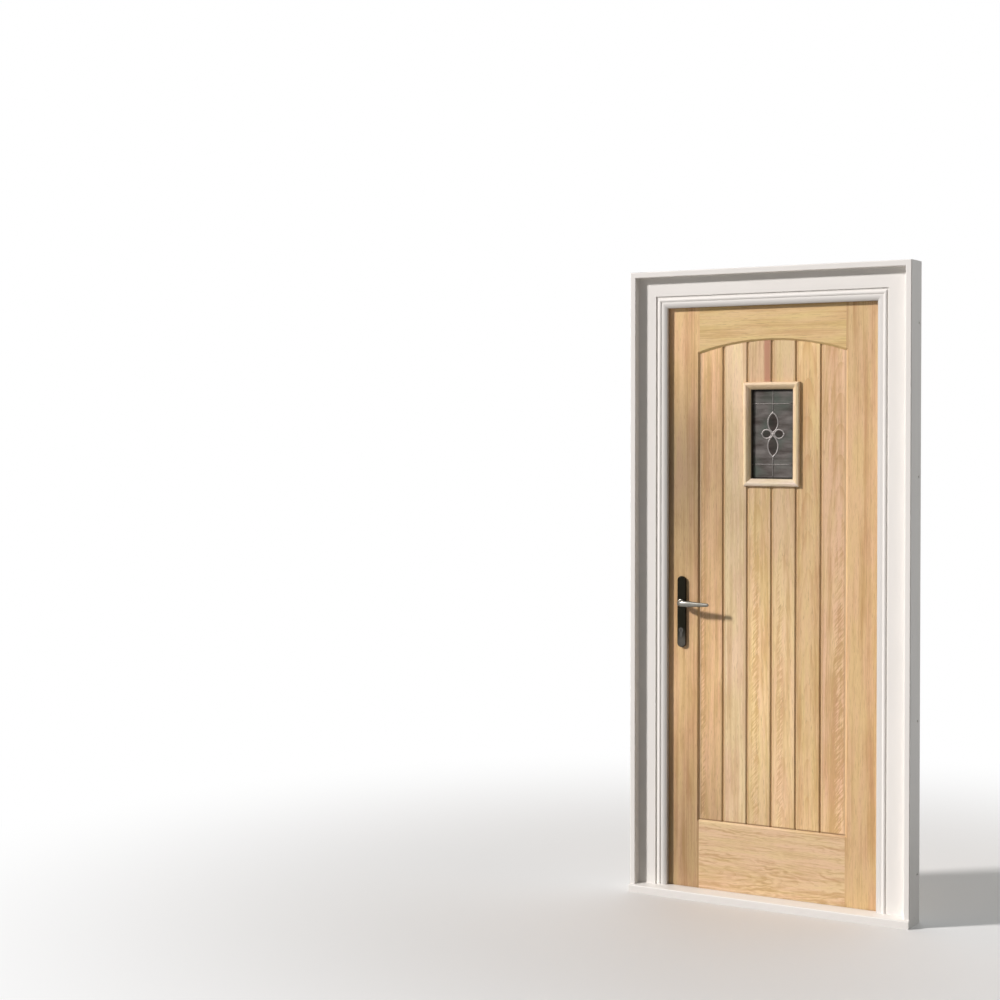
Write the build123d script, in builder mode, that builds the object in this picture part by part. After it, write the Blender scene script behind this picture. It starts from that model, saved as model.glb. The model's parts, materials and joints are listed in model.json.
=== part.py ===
from build123d import *
import os

os.makedirs("parts", exist_ok=True)

# A boarded and glazed front door in its moulded frame, seen from outside.
# X runs to the right, Y runs into the house, Z runs up, all in millimetres.
# The origin is the centre of the underside of the sill.

# Leaf, a standard 30 by 78 inch external door
leaf_w = 762.0
leaf_h = 1981.0
leaf_t = 44.0
stile_w = 121.0
bottom_rail_h = 240.0
top_rail_h = 125.0
arch_rise = 40.0
bevel_w = 6.0
bevel_d = 5.0

# Boards between the stiles, tongued and V-jointed on both faces
board_count = 6
board_t = 32.0
vee_w = 5.5
tongue_t = 10.0
tongue_l = 9.0
groove_clear_t = 0.2
groove_clear_l = 0.6

# Tenons of the rails in the stiles
tenon_t = 14.0
tenon_l = 85.0
tenon_bottom_h = 170.0
tenon_top_h = 80.0
tenon_clear = 0.2

# Frame section, measured outwards from the clear opening and back from the face
edge_gap = 3.0
foot_gap = 3.0
rebate_lap = 12.0
jamb_w = 123.0
face_step = 23.0
seal_gap = 3.0
ovolo_w = 20.0
ovolo_d = 4.0
bead_w = 13.0
bead_d = 3.0
quirk_w = 7.0
quirk_d = 4.0
mould_w = 20.0
mould_t = 29.0
mould_round = 3.0

# Sill
sill_h = 30.0
sill_rebate = 12.0
sill_nose = 10.0
sill_fall = 5.0
nose_round = 4.0
throat_w = 6.0
throat_d = 4.0
throat_back = 10.0
jamb_tenon_w = 60.0
jamb_tenon_t = 16.0
jamb_tenon_clear = 0.2

# Weather seal pushed into a kerf in the stop
kerf_w = 2.6
kerf_d = 5.0
kerf_u = 8.0
sill_kerf_u = 4.2
seal_w = 7.0
seal_clear = 0.3
barb_clear = 0.1

# Frame fixings through the jambs
fixing_r = 4.25
fixing_bore_r = 8.0
fixing_bore_d = 12.0
fixing_foot = 160.0
fixing_head = 196.0
fixing_close = 780.0

# Glazed light
light_notch = 1.0
light_h = 346.0
light_drop = 311.0
bolection_w = 26.5
bolection_t = 13.0
bolection_lap = 11.5
splay_w = 17.0
splay_drop = 14.0
splay_bulge = 0.5
crest_d = 0.6
nose_drop = 4.5
pane_t = 4.0
cavity_t = 6.0
pane_clear = 3.0
spacer_w = 8.0
came_w = 5.5
came_t = 1.6
petal_w = 36.0
petal_up = 57.0
petal_down = 62.0
petal_side = 36.0
petal_side_w = 34.0
petal_gap = 5.0
band_inset = 46.0

# Lock, handles and cylinder
backset = 59.0
lever_z = 994.0
centres = 92.0
plate_w = 30.0
plate_h = 242.0
plate_t = 11.0
plate_round = 3.0
plate_up = 30.0
hub_r = 10.0
collar_r = 12.5
collar_gap = 0.4
collar_out = 5.0
run_clear = 0.05
lever_proud = 53.0
lever_l = 119.0
neck_r = 9.0
turn_r = 26.0
grip_h = 20.0
grip_t = 15.0
tip_h = 11.0
tip_t = 8.0
tip_round = 2.2
spindle_s = 8.0
spindle_hole_r = 8.0
spindle_sink = 22.0
case_t = 14.0
case_wall = 1.5
case_behind = 28.0
case_below = 30.0
case_above = 54.0
case_clear = 0.5
forend_w = 20.0
forend_t = 3.0
forend_reach = 32.0
follower_r = 11.0
follower_side = 0.3
journal_r = 7.5
arm_l = 18.0
arm_w = 6.0
lug_gap = 0.8
lug_l = 7.0
lug_lift = 1.0
latch_up = 32.0
latch_h = 20.0
latch_t = 10.0
latch_out = 12.0
latch_l = 48.0
latch_nose = 3.0
latch_heel = 1.5
bolt_up = 36.0
bolt_h = 22.0
bolt_throw = 20.0
bolt_l = 45.0
tail_gap = 4.0
fork_w = 17.0
fork_slot = 8.4
fork_depth = 11.5
fork_gap = 3.0
slide_clear = 0.3
cyl_r = 8.5
cyl_stem_w = 10.0
cyl_stem_round = 4.5
cyl_depth = 33.0
cyl_proud = 1.0
cyl_clear = 0.2
cam_gap = 10.0
cam_sweep_r = 16.5
cam_r = 15.0
cam_hub_r = 8.0
cam_side = 0.3
cam_w = 7.0
plug_r = 6.4
keyway_w = 1.8
keyway_h = 8.6
keyway_d = 12.0
keyway_drop = 1.0
cyl_screw_r = 2.4
cyl_screw_head_r = 4.5
cyl_screw_head = 2.5

# Strike plate in the lock jamb
strike_w = 24.0
strike_t = 2.0
strike_reach = 34.0
strike_clear = 2.0
strike_csk_r = 3.9
pocket_more = 6.0

# Butt hinges on the inner edge
hinge_h = 100.0
hinge_top = 150.0
hinge_foot = 225.0
flap_t = 2.5
flap_w = 32.0
knuckle_r = 6.0
knuckle_out = 7.0
knuckle_count = 5
knuckle_clear = 0.3
pin_r = 3.0
pin_head_r = 4.6
pin_head = 2.2
csk_hole_r = 2.5
csk_r = 4.5
csk_row = 11.0
csk_end = 12.0
csk_pitch = 24.0

# Derived levels and faces
sill_y = (mould_t + sill_nose + face_step + leaf_t) / 2
leaf_in = sill_y
leaf_out = leaf_in - leaf_t
face_y = leaf_out - face_step
mould_y = face_y - mould_t
stop_y = leaf_out - seal_gap
stop_v = stop_y - face_y
mid_y = (leaf_out + leaf_in) / 2
clear_x = leaf_w / 2 + edge_gap - rebate_lap
rebate_x = leaf_w / 2 + edge_gap
frame_x = clear_x + jamb_w
leaf_bottom = sill_h - sill_rebate + foot_gap
leaf_top = leaf_bottom + leaf_h
clear_top = leaf_top + edge_gap - rebate_lap
frame_h = clear_top + jamb_w
edge_x = leaf_w / 2
panel_x = edge_x - stile_w
rail_z = leaf_bottom + bottom_rail_h
crown_z = leaf_top - top_rail_h
spring_z = crown_z - arch_rise
light_z = crown_z - light_drop
board_w = 2 * panel_x / board_count
board_out = mid_y - board_t / 2
board_in = mid_y + board_t / 2

right_plane = Plane(origin=(clear_x, face_y, 0), x_dir=(1, 0, 0), z_dir=(0, 0, 1))
head_plane = Plane(origin=(0, face_y, clear_top), x_dir=(0, 0, 1), z_dir=(-1, 0, 0))
mitre_right = Plane(origin=(clear_x, 0, clear_top), x_dir=(0, 1, 0), z_dir=(1, 0, -1))
mitre_left = Plane(origin=(-clear_x, 0, clear_top), x_dir=(0, 1, 0), z_dir=(-1, 0, -1))
pieces = {}


def frame_section(plane):
    """The moulded section: ovolo, bead and quirk round the opening, rebate behind."""
    bead_end = ovolo_w + bead_w
    with BuildSketch(plane) as section:
        with BuildLine():
            ThreePointArc(
                (0, bead_d + ovolo_d),
                (0.29 * ovolo_w, bead_d + 0.29 * ovolo_d),
                (ovolo_w, bead_d),
            )
            ThreePointArc((ovolo_w, bead_d), (ovolo_w + bead_w / 2, 0), (bead_end, bead_d))
            Polyline(
                (bead_end, bead_d),
                (bead_end, quirk_d),
                (bead_end + quirk_w, quirk_d),
                (bead_end + quirk_w, 0),
                (jamb_w, 0),
                (jamb_w, face_step + leaf_t),
                (rebate_lap, face_step + leaf_t),
                (rebate_lap, stop_v),
                (0, stop_v),
                (0, bead_d + ovolo_d),
            )
        make_face()
        with Locations((kerf_u, stop_v - kerf_d / 2)):
            Rectangle(kerf_w, kerf_d, mode=Mode.SUBTRACT)
    return section.sketch


def mould_section(plane):
    """The square cover mould planted on the outer edge of the frame's face."""
    with BuildSketch(plane) as section:
        with Locations((jamb_w - mould_w / 2, -mould_t / 2)):
            Rectangle(mould_w, mould_t)
        fillet(section.vertices().group_by(Axis.Y)[0], radius=mould_round)
    return section.sketch


def seal_section(plane, u):
    """A foam bulb on a barb; the bulb faces the leaf."""
    bulb = seal_gap - seal_clear
    with BuildSketch(plane) as section:
        with BuildLine():
            Polyline(
                (u - seal_w / 2, stop_v + bulb / 2),
                (u - seal_w / 2, stop_v),
                (u - kerf_w / 2 + barb_clear, stop_v),
                (u - kerf_w / 2 + barb_clear, stop_v - kerf_d + barb_clear),
                (u + kerf_w / 2 - barb_clear, stop_v - kerf_d + barb_clear),
                (u + kerf_w / 2 - barb_clear, stop_v),
                (u + seal_w / 2, stop_v),
                (u + seal_w / 2, stop_v + bulb / 2),
            )
            ThreePointArc(
                (u + seal_w / 2, stop_v + bulb / 2),
                (u, stop_v + bulb),
                (u - seal_w / 2, stop_v + bulb / 2),
            )
        make_face()
    return section.sketch


def sill_section():
    """Weathered sill with a rounded nose, a drip throat and a rebate for the leaf."""
    with BuildSketch(Plane.YZ) as section:
        with BuildLine():
            Polyline(
                (-sill_y, 0),
                (leaf_in, 0),
                (leaf_in, sill_h - sill_rebate),
                (stop_y, sill_h - sill_rebate),
                (stop_y, sill_h),
                (face_y, sill_h),
                (-sill_y, sill_h - sill_fall),
                (-sill_y, 0),
            )
        make_face()
        nose = section.vertices().group_by(Axis.X)[0].sort_by(Axis.Y)[-1]
        fillet(nose, radius=nose_round)
    return section.sketch


# Sill, with a mortise for the tenon of each jamb
tenon_x = clear_x + (rebate_lap + jamb_w) / 2
tenon_y = mid_y
with BuildPart() as sill:
    extrude(sill_section(), amount=frame_x, both=True)
    with BuildSketch(Plane.XY):
        with Locations((-tenon_x, tenon_y), (tenon_x, tenon_y)):
            Rectangle(jamb_tenon_w + 2 * jamb_tenon_clear, jamb_tenon_t + 2 * jamb_tenon_clear)
    extrude(amount=sill_h, mode=Mode.SUBTRACT)
    with BuildSketch(Plane.YZ):
        with Locations((throat_back + throat_w / 2 - sill_y, throat_d / 2)):
            Rectangle(throat_w, throat_d)
        with Locations((stop_y - kerf_d / 2, sill_h - sill_kerf_u)):
            Rectangle(kerf_d, kerf_w)
    extrude(amount=frame_x, both=True, mode=Mode.SUBTRACT)
pieces["sill"] = sill.part

# Jamb blank for the right hand side: mitred at the head, scribed and tenoned to the sill
with BuildPart() as jamb_blank:
    extrude(frame_section(right_plane), amount=frame_h)
    split(bisect_by=mitre_right, keep=Keep.TOP)
    extrude(sill_section(), amount=frame_x, both=True, mode=Mode.SUBTRACT)
    with BuildSketch(Plane.XY):
        with Locations((tenon_x, tenon_y)):
            Rectangle(jamb_tenon_w, jamb_tenon_t)
    extrude(amount=sill_h)
    hole_z = (fixing_foot + frame_h - fixing_head) / 2
    hole_face = Plane(origin=(rebate_x, mid_y, hole_z), x_dir=(0, 1, 0), z_dir=(-1, 0, 0))
    with Locations(hole_face):
        with GridLocations(1, frame_h - fixing_head - fixing_foot, 1, 2):
            CounterBoreHole(fixing_r, fixing_bore_r, fixing_bore_d, depth=jamb_w)
        with GridLocations(1, fixing_close, 1, 2):
            CounterBoreHole(fixing_r, fixing_bore_r, fixing_bore_d, depth=jamb_w)

# Head jamb, mitred at both ends
with BuildPart() as head_jamb:
    extrude(frame_section(head_plane), amount=frame_x, both=True)
    split(bisect_by=mitre_right, keep=Keep.BOTTOM)
    split(bisect_by=mitre_left, keep=Keep.BOTTOM)
pieces["head_jamb"] = head_jamb.part

# Cover moulds round the outside of the frame
with BuildPart() as cover_mould_right:
    extrude(mould_section(right_plane), amount=frame_h)
    split(bisect_by=mitre_right, keep=Keep.TOP)
    extrude(sill_section(), amount=frame_x, both=True, mode=Mode.SUBTRACT)
pieces["cover_mould_right"] = cover_mould_right.part

with BuildPart() as cover_mould_left:
    mirror(cover_mould_right.part, about=Plane.YZ)
pieces["cover_mould_left"] = cover_mould_left.part

with BuildPart() as cover_mould_head:
    extrude(mould_section(head_plane), amount=frame_x, both=True)
    split(bisect_by=mitre_right, keep=Keep.BOTTOM)
    split(bisect_by=mitre_left, keep=Keep.BOTTOM)
pieces["cover_mould_head"] = cover_mould_head.part

# Weather seals
with BuildPart() as seal_right:
    extrude(seal_section(right_plane.offset(sill_h), kerf_u), amount=frame_h)
    split(bisect_by=mitre_right, keep=Keep.TOP)
pieces["seal_right"] = seal_right.part

with BuildPart() as seal_left:
    mirror(seal_right.part, about=Plane.YZ)
pieces["seal_left"] = seal_left.part

with BuildPart() as seal_head:
    extrude(seal_section(head_plane, kerf_u), amount=frame_x, both=True)
    split(bisect_by=mitre_right, keep=Keep.BOTTOM)
    split(bisect_by=mitre_left, keep=Keep.BOTTOM)
pieces["seal_head"] = seal_head.part

foot_plane = Plane(origin=(0, face_y, sill_h), x_dir=(0, 0, -1), z_dir=(1, 0, 0))
with BuildPart() as seal_sill:
    extrude(seal_section(foot_plane, sill_kerf_u), amount=rebate_x - seal_clear, both=True)
pieces["seal_sill"] = seal_sill.part

# Outline of the framed opening that the boards fill, with its arched top
def opening_outline(plane, grow):
    crown = crown_z + grow
    spring = spring_z + grow
    with BuildSketch(plane) as outline:
        with BuildLine():
            Polyline(
                (-panel_x - grow, spring),
                (-panel_x - grow, rail_z - grow),
                (panel_x + grow, rail_z - grow),
                (panel_x + grow, spring),
            )
            ThreePointArc((panel_x + grow, spring), (0, crown), (-panel_x - grow, spring))
        make_face()
    return outline.sketch


def at_y(y):
    """Upright plane at depth y, drawn as seen from outside, facing outwards."""
    return Plane.XZ.offset(-y)


# Cutter shared by stiles and rails: the opening, its bevelled arris and the panel groove
with BuildPart() as opening_cut:
    extrude(opening_outline(at_y(leaf_in), 0), amount=leaf_t)
    groove_reach = tongue_l + groove_clear_l
    groove_t = tongue_t + 2 * groove_clear_t
    extrude(opening_outline(at_y(mid_y), groove_reach), amount=groove_t / 2, both=True)
    loft([opening_outline(at_y(leaf_out), bevel_w), opening_outline(at_y(leaf_out + bevel_d), 0)], ruled=True)
    loft([opening_outline(at_y(leaf_in), bevel_w), opening_outline(at_y(leaf_in - bevel_d), 0)], ruled=True)

# Case and lock levels
lock_x = backset - edge_x
cyl_z = lever_z - centres
latch_z = lever_z + latch_up
bolt_z = cyl_z + bolt_up
case_z0 = cyl_z - case_below
case_z1 = lever_z + case_above
case_x1 = lock_x + case_behind
forend_x = forend_t - edge_x
cavity_y = case_t / 2 - case_wall
plate_z = lever_z - plate_up
plate_out = leaf_out - plate_t

# Hinge levels and axis
hinge_x = edge_x + edge_gap / 2
hinge_y = leaf_in + knuckle_out
hinge_zs = [
    leaf_bottom + hinge_foot + hinge_h / 2,
    (leaf_bottom + hinge_foot + leaf_top - hinge_top) / 2,
    leaf_top - hinge_top - hinge_h / 2,
]
hinge_names = ["bottom", "middle", "top"]


def euro_outline(plane, grow):
    """Outline of a euro profile cylinder, head up, stem down."""
    stem = cyl_depth - cyl_r
    with BuildSketch(plane) as outline:
        with Locations((lock_x, cyl_z)):
            Circle(cyl_r + grow)
        with Locations((lock_x, cyl_z - stem / 2)):
            Rectangle(cyl_stem_w + 2 * grow, stem + 2 * grow)
        tips = outline.vertices().group_by(Axis.Y)[0]
        fillet(tips, radius=cyl_stem_round)
    return outline.sketch


# Tenon of each rail: centred on the leaf's thickness, from the rail's shoulder into the stile
tenon_bottom_z = leaf_bottom + bottom_rail_h / 2
tenon_top_z = leaf_top - top_rail_h / 2
tenon_mid_x = panel_x + tenon_l / 2
mortise_t = tenon_t + 2 * tenon_clear

# Hinge stile, on the right, with a sinking for each hinge flap in its edge
with BuildPart() as hinge_stile:
    with BuildSketch(at_y(leaf_in)):
        with Locations((edge_x - stile_w / 2, (leaf_bottom + leaf_top) / 2)):
            Rectangle(stile_w, leaf_h)
    extrude(amount=leaf_t)
    add(opening_cut.part, mode=Mode.SUBTRACT)
    with BuildSketch(at_y(mid_y)):
        with Locations((tenon_mid_x, tenon_bottom_z)):
            Rectangle(tenon_l + 2 * tenon_clear, tenon_bottom_h + 2 * tenon_clear)
        with Locations((tenon_mid_x, tenon_top_z)):
            Rectangle(tenon_l + 2 * tenon_clear, tenon_top_h + 2 * tenon_clear)
    extrude(amount=mortise_t / 2, both=True, mode=Mode.SUBTRACT)
    for z in hinge_zs:
        with BuildSketch(Plane.YZ.offset(edge_x)):
            with Locations((leaf_in - flap_w / 2, z)):
                Rectangle(flap_w, hinge_h)
        extrude(amount=-flap_t, mode=Mode.SUBTRACT)
pieces["hinge_stile"] = hinge_stile.part

# Lock stile, on the left, mortised for the lock case and bored for spindle and cylinder
with BuildPart() as lock_stile:
    with BuildSketch(at_y(leaf_in)):
        with Locations((stile_w / 2 - edge_x, (leaf_bottom + leaf_top) / 2)):
            Rectangle(stile_w, leaf_h)
    extrude(amount=leaf_t)
    add(opening_cut.part, mode=Mode.SUBTRACT)
    with BuildSketch(at_y(mid_y)):
        with Locations((-tenon_mid_x, tenon_bottom_z)):
            Rectangle(tenon_l + 2 * tenon_clear, tenon_bottom_h + 2 * tenon_clear)
        with Locations((-tenon_mid_x, tenon_top_z)):
            Rectangle(tenon_l + 2 * tenon_clear, tenon_top_h + 2 * tenon_clear)
    extrude(amount=mortise_t / 2, both=True, mode=Mode.SUBTRACT)
    with BuildSketch(Plane.YZ.offset(-edge_x)):
        with Locations((mid_y, (case_z0 + case_z1) / 2)):
            SlotOverall(case_z1 - case_z0 + 2 * forend_reach, forend_w, rotation=90)
    extrude(amount=forend_t, mode=Mode.SUBTRACT)
    with BuildSketch(at_y(mid_y)):
        with Locations(((case_x1 - edge_x) / 2, (case_z0 + case_z1) / 2)):
            Rectangle(case_x1 + edge_x + 2 * case_clear, case_z1 - case_z0 + 2 * case_clear)
    extrude(amount=case_t / 2 + case_clear, both=True, mode=Mode.SUBTRACT)
    with BuildSketch(at_y(mid_y)):
        with Locations((lock_x, lever_z)):
            Circle(spindle_hole_r)
    extrude(amount=leaf_t, both=True, mode=Mode.SUBTRACT)
    extrude(euro_outline(at_y(mid_y), case_clear), amount=leaf_t, both=True, mode=Mode.SUBTRACT)
pieces["lock_stile"] = lock_stile.part

# Rails, tenoned at both ends; the top rail is arched underneath
with BuildPart() as bottom_rail:
    with BuildSketch(at_y(leaf_in)):
        with Locations((0, tenon_bottom_z)):
            Rectangle(2 * panel_x, bottom_rail_h)
    extrude(amount=leaf_t)
    with BuildSketch(at_y(mid_y)):
        with Locations((0, tenon_bottom_z)):
            Rectangle(2 * (panel_x + tenon_l), tenon_bottom_h)
    extrude(amount=tenon_t / 2, both=True)
    add(opening_cut.part, mode=Mode.SUBTRACT)
pieces["bottom_rail"] = bottom_rail.part

with BuildPart() as top_rail:
    with BuildSketch(at_y(leaf_in)):
        with Locations((0, (leaf_top + spring_z) / 2)):
            Rectangle(2 * panel_x, leaf_top - spring_z)
    extrude(amount=leaf_t)
    with BuildSketch(at_y(mid_y)):
        with Locations((0, tenon_top_z)):
            Rectangle(2 * (panel_x + tenon_l), tenon_top_h)
    extrude(amount=tenon_t / 2, both=True)
    add(opening_cut.part, mode=Mode.SUBTRACT)
pieces["top_rail"] = top_rail.part

# Cut-out for the glazed light, through the two middle boards and a little of their neighbours
cut_w = 2 * (board_w + light_notch)
cut_h = light_h - 2 * bolection_lap
light_w = cut_w + 2 * bolection_lap
with BuildPart() as light_cut:
    with BuildSketch(at_y(leaf_in)):
        with Locations((0, light_z)):
            Rectangle(cut_w, cut_h)
    extrude(amount=leaf_t)

# Panel blank that all boards are cut from: full thickness in the opening, thin in the grooves
with BuildPart() as panel_blank:
    extrude(opening_outline(at_y(board_in), 0), amount=board_t)
    extrude(opening_outline(at_y(mid_y), tongue_l), amount=tongue_t / 2, both=True)
    add(light_cut.part, mode=Mode.SUBTRACT)

for i in range(board_count):
    x0 = board_w * i - panel_x
    x1 = x0 + board_w
    first = i == 0
    last = i == board_count - 1
    with BuildPart() as board:
        with BuildSketch(Plane.XY) as plan:
            with Locations(((x0 + x1) / 2, mid_y)):
                Rectangle(board_w, board_t)
            joint_x = [x for x in (x0, x1) if abs(x) < panel_x - vee_w]
            corners = [v for v in plan.vertices() if any(abs(v.X - x) < vee_w / 2 for x in joint_x)]
            chamfer(corners, length=vee_w)
            if last:
                with Locations((x1 + tongue_l, mid_y)):
                    Rectangle(2 * tongue_l, tongue_t)
            elif i < board_count / 2:
                with Locations((x1 + tongue_l / 2, mid_y)):
                    Rectangle(tongue_l, tongue_t)
            else:
                with Locations((x1 - groove_reach / 2, mid_y)):
                    Rectangle(groove_reach, groove_t, mode=Mode.SUBTRACT)
            if first:
                with Locations((x0 - tongue_l, mid_y)):
                    Rectangle(2 * tongue_l, tongue_t)
            elif i > board_count / 2:
                with Locations((x0 - tongue_l / 2, mid_y)):
                    Rectangle(tongue_l, tongue_t)
            else:
                with Locations((x0 + groove_reach / 2, mid_y)):
                    Rectangle(groove_reach, groove_t, mode=Mode.SUBTRACT)
        extrude(amount=leaf_top)
        add(panel_blank.part, mode=Mode.INTERSECT)
    found = board.part.solids().sort_by(Axis.Z)
    if len(found) == 2:
        pieces[f"board_{i + 1}_lower"] = found[0]
        pieces[f"board_{i + 1}_upper"] = found[1]
    else:
        pieces[f"board_{i + 1}"] = board.part

# Glazing: two panes on a spacer, held between bolection moulds on both faces
sight_w = light_w - 2 * bolection_w
sight_h = light_h - 2 * bolection_w
unit_t = 2 * pane_t + cavity_t
unit_out = mid_y - unit_t / 2
bolection_out = board_out - bolection_t
pane_w = cut_w - 2 * pane_clear
pane_h = cut_h - 2 * pane_clear
light_right = Plane(origin=(sight_w / 2, bolection_out, light_z), x_dir=(1, 0, 0), z_dir=(0, 0, 1))
light_top = Plane(origin=(0, bolection_out, light_z + sight_h / 2), x_dir=(0, 0, 1), z_dir=(-1, 0, 0))
corner = (sight_w / 2, 0, light_z + sight_h / 2)
light_mitre = Plane(origin=corner, x_dir=(0, 1, 0), z_dir=(1, 0, -1))
light_level = Plane(origin=(0, 0, light_z), x_dir=(1, 0, 0), z_dir=(0, 0, 1))


def bolection_section(plane):
    """Raised mould that laps the boards, splayed from its crest down to the glass."""
    lap_u = bolection_w - bolection_lap
    glass_v = unit_out - bolection_out
    with BuildSketch(plane) as section:
        with BuildLine():
            Line((0, glass_v), (0, splay_drop))
            ThreePointArc(
                (0, splay_drop),
                (splay_w / 2, (splay_drop + crest_d) / 2 - splay_bulge),
                (splay_w, crest_d),
            )
            ThreePointArc(
                (splay_w, crest_d),
                (splay_w + 0.71 * (bolection_w - splay_w), crest_d + 0.29 * (nose_drop - crest_d)),
                (bolection_w, nose_drop),
            )
            Polyline(
                (bolection_w, nose_drop),
                (bolection_w, bolection_t),
                (lap_u, bolection_t),
                (lap_u, glass_v),
                (0, glass_v),
            )
        make_face()
    return section.sketch


with BuildPart() as outer_bead_right:
    extrude(bolection_section(light_right), amount=light_h, both=True)
    split(bisect_by=light_mitre, keep=Keep.TOP)
    split(bisect_by=Plane(origin=(sight_w / 2, 0, light_z - sight_h / 2), x_dir=(0, 1, 0), z_dir=(1, 0, 1)))
with BuildPart() as outer_bead_top:
    extrude(bolection_section(light_top), amount=light_w, both=True)
    split(bisect_by=light_mitre, keep=Keep.BOTTOM)
    split(bisect_by=Plane(origin=(-sight_w / 2, 0, corner[2]), x_dir=(0, 1, 0), z_dir=(1, 0, 1)))
with BuildPart() as outer_bead_left:
    mirror(outer_bead_right.part, about=Plane.YZ)
with BuildPart() as outer_bead_bottom:
    mirror(outer_bead_top.part, about=light_level)
outer_beads = {
    "right": outer_bead_right,
    "top": outer_bead_top,
    "left": outer_bead_left,
    "bottom": outer_bead_bottom,
}
for side, bead in outer_beads.items():
    pieces[f"outer_bead_{side}"] = bead.part
    with BuildPart() as inner_bead:
        mirror(bead.part, about=Plane.XZ.offset(-mid_y))
    pieces[f"inner_bead_{side}"] = inner_bead.part

with BuildPart() as outer_pane:
    with BuildSketch(at_y(unit_out + pane_t)):
        with Locations((0, light_z)):
            Rectangle(pane_w, pane_h)
    extrude(amount=pane_t)
pieces["outer_pane"] = outer_pane.part

with BuildPart() as inner_pane:
    mirror(outer_pane.part, about=Plane.XZ.offset(-mid_y))
pieces["inner_pane"] = inner_pane.part

with BuildPart() as spacer:
    with BuildSketch(at_y(mid_y)):
        with Locations((0, light_z)):
            Rectangle(pane_w, pane_h)
            Rectangle(pane_w - 2 * spacer_w, pane_h - 2 * spacer_w, mode=Mode.SUBTRACT)
    extrude(amount=cavity_t / 2, both=True)
pieces["spacer"] = spacer.part


def petal(plane, length, width, angle, away):
    """A pointed oval drawn along its long axis, turned about the flower's centre."""
    with BuildSketch(plane) as shape:
        with BuildLine():
            ThreePointArc((0, away), (width / 2, away + length / 2), (0, away + length))
            ThreePointArc((0, away + length), (-width / 2, away + length / 2), (0, away))
        make_face()
    return shape.sketch.rotate(Axis((0, 0, light_z), (0, -1, 0)), angle)


# Lead cames on the outer pane: a four petalled flower on a stem, between two cross bars
came_plane = Plane.XZ.offset(-unit_out).shift_origin((0, unit_out, light_z))
petals = [
    (petal_up, petal_w, 0),
    (petal_down, petal_w, 180),
    (petal_side, petal_side_w, 90),
    (petal_side, petal_side_w, 270),
]
with BuildPart() as lead_cames:
    for length, width, angle in petals:
        extrude(petal(came_plane, length, width, angle, petal_gap), amount=came_t)
    stem_z = sight_h / 2 - petal_gap
    with BuildSketch(came_plane):
        with Locations((0, (petal_gap + petal_up + sight_h / 2) / 2 - came_w / 4)):
            Rectangle(came_w, sight_h / 2 - petal_gap - petal_up + came_w / 2)
        with Locations((0, -(petal_gap + petal_down + sight_h / 2) / 2 + came_w / 4)):
            Rectangle(came_w, sight_h / 2 - petal_gap - petal_down + came_w / 2)
        with Locations((0, sight_h / 2 - band_inset), (0, band_inset - sight_h / 2)):
            Rectangle(sight_w, came_w)
        Rectangle(2 * (petal_gap + came_w), came_w)
        Rectangle(came_w, 2 * (petal_gap + came_w))
    extrude(amount=came_t)
    for length, width, angle in petals:
        slim = width - 2 * came_w
        short = length - 2 * came_w * length / width
        inset = petal_gap + (length - short) / 2
        extrude(petal(came_plane, short, slim, angle, inset), amount=came_t, mode=Mode.SUBTRACT)
pieces["lead_cames"] = lead_cames.part

# Back plates, long with rounded ends, bored for the lever and cut for the cylinder
with BuildPart() as outer_backplate:
    with BuildSketch(at_y(leaf_out)):
        with Locations((lock_x, plate_z)):
            SlotOverall(plate_h, plate_w, rotation=90)
        with Locations((lock_x, lever_z)):
            Circle(hub_r + run_clear, mode=Mode.SUBTRACT)
    extrude(amount=plate_t)
    rim = outer_backplate.faces().sort_by(Axis.Y)[0].outer_wire().edges()
    fillet(rim, radius=plate_round)
    extrude(euro_outline(at_y(leaf_out), cyl_clear), amount=plate_t, mode=Mode.SUBTRACT)
pieces["outer_backplate"] = outer_backplate.part

with BuildPart() as inner_backplate:
    mirror(outer_backplate.part, about=Plane.XZ.offset(-mid_y))
pieces["inner_backplate"] = inner_backplate.part

# Lever: a hub through the plate, a collar over it, a neck that turns along the door, and a
# grip that tapers from behind, so that its outer face stays straight
grip_y = leaf_out - lever_proud + grip_t / 2
tip_y = leaf_out - lever_proud + tip_t / 2
with BuildPart() as outer_lever:
    with BuildSketch(at_y(leaf_out)):
        with Locations((lock_x, lever_z)):
            Circle(hub_r)
    extrude(amount=plate_t + collar_out)
    with BuildSketch(at_y(plate_out - collar_gap)):
        with Locations((lock_x, lever_z)):
            Circle(collar_r)
    extrude(amount=collar_out - collar_gap)
    with BuildSketch(at_y(plate_out - collar_out)):
        with Locations((lock_x, lever_z)):
            Circle(neck_r)
    with BuildSketch(at_y(grip_y + turn_r)):
        with Locations((lock_x, lever_z)):
            Ellipse(grip_t / 2, grip_h / 2)
    loft(ruled=True)
    with BuildSketch(Plane.YZ.offset(lock_x + turn_r)):
        with Locations((grip_y, lever_z)):
            Ellipse(grip_t / 2, grip_h / 2)
    revolve(
        axis=Axis((lock_x + turn_r, grip_y + turn_r, 0), (0, 0, -1)),
        revolution_arc=90,
    )
    with BuildSketch(Plane.YZ.offset(lock_x + turn_r)):
        with Locations((grip_y, lever_z)):
            Ellipse(grip_t / 2, grip_h / 2)
    with BuildSketch(Plane.YZ.offset(lock_x + lever_l)):
        with Locations((tip_y, lever_z)):
            Ellipse(tip_t / 2, tip_h / 2)
    loft(ruled=True)
    fillet(outer_lever.edges().group_by(Axis.X)[-1], radius=tip_round)
    with BuildSketch(at_y(leaf_out)):
        with Locations((lock_x, lever_z)):
            Rectangle(spindle_s, spindle_s)
    extrude(amount=spindle_sink, mode=Mode.SUBTRACT)
pieces["outer_lever"] = outer_lever.part

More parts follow.
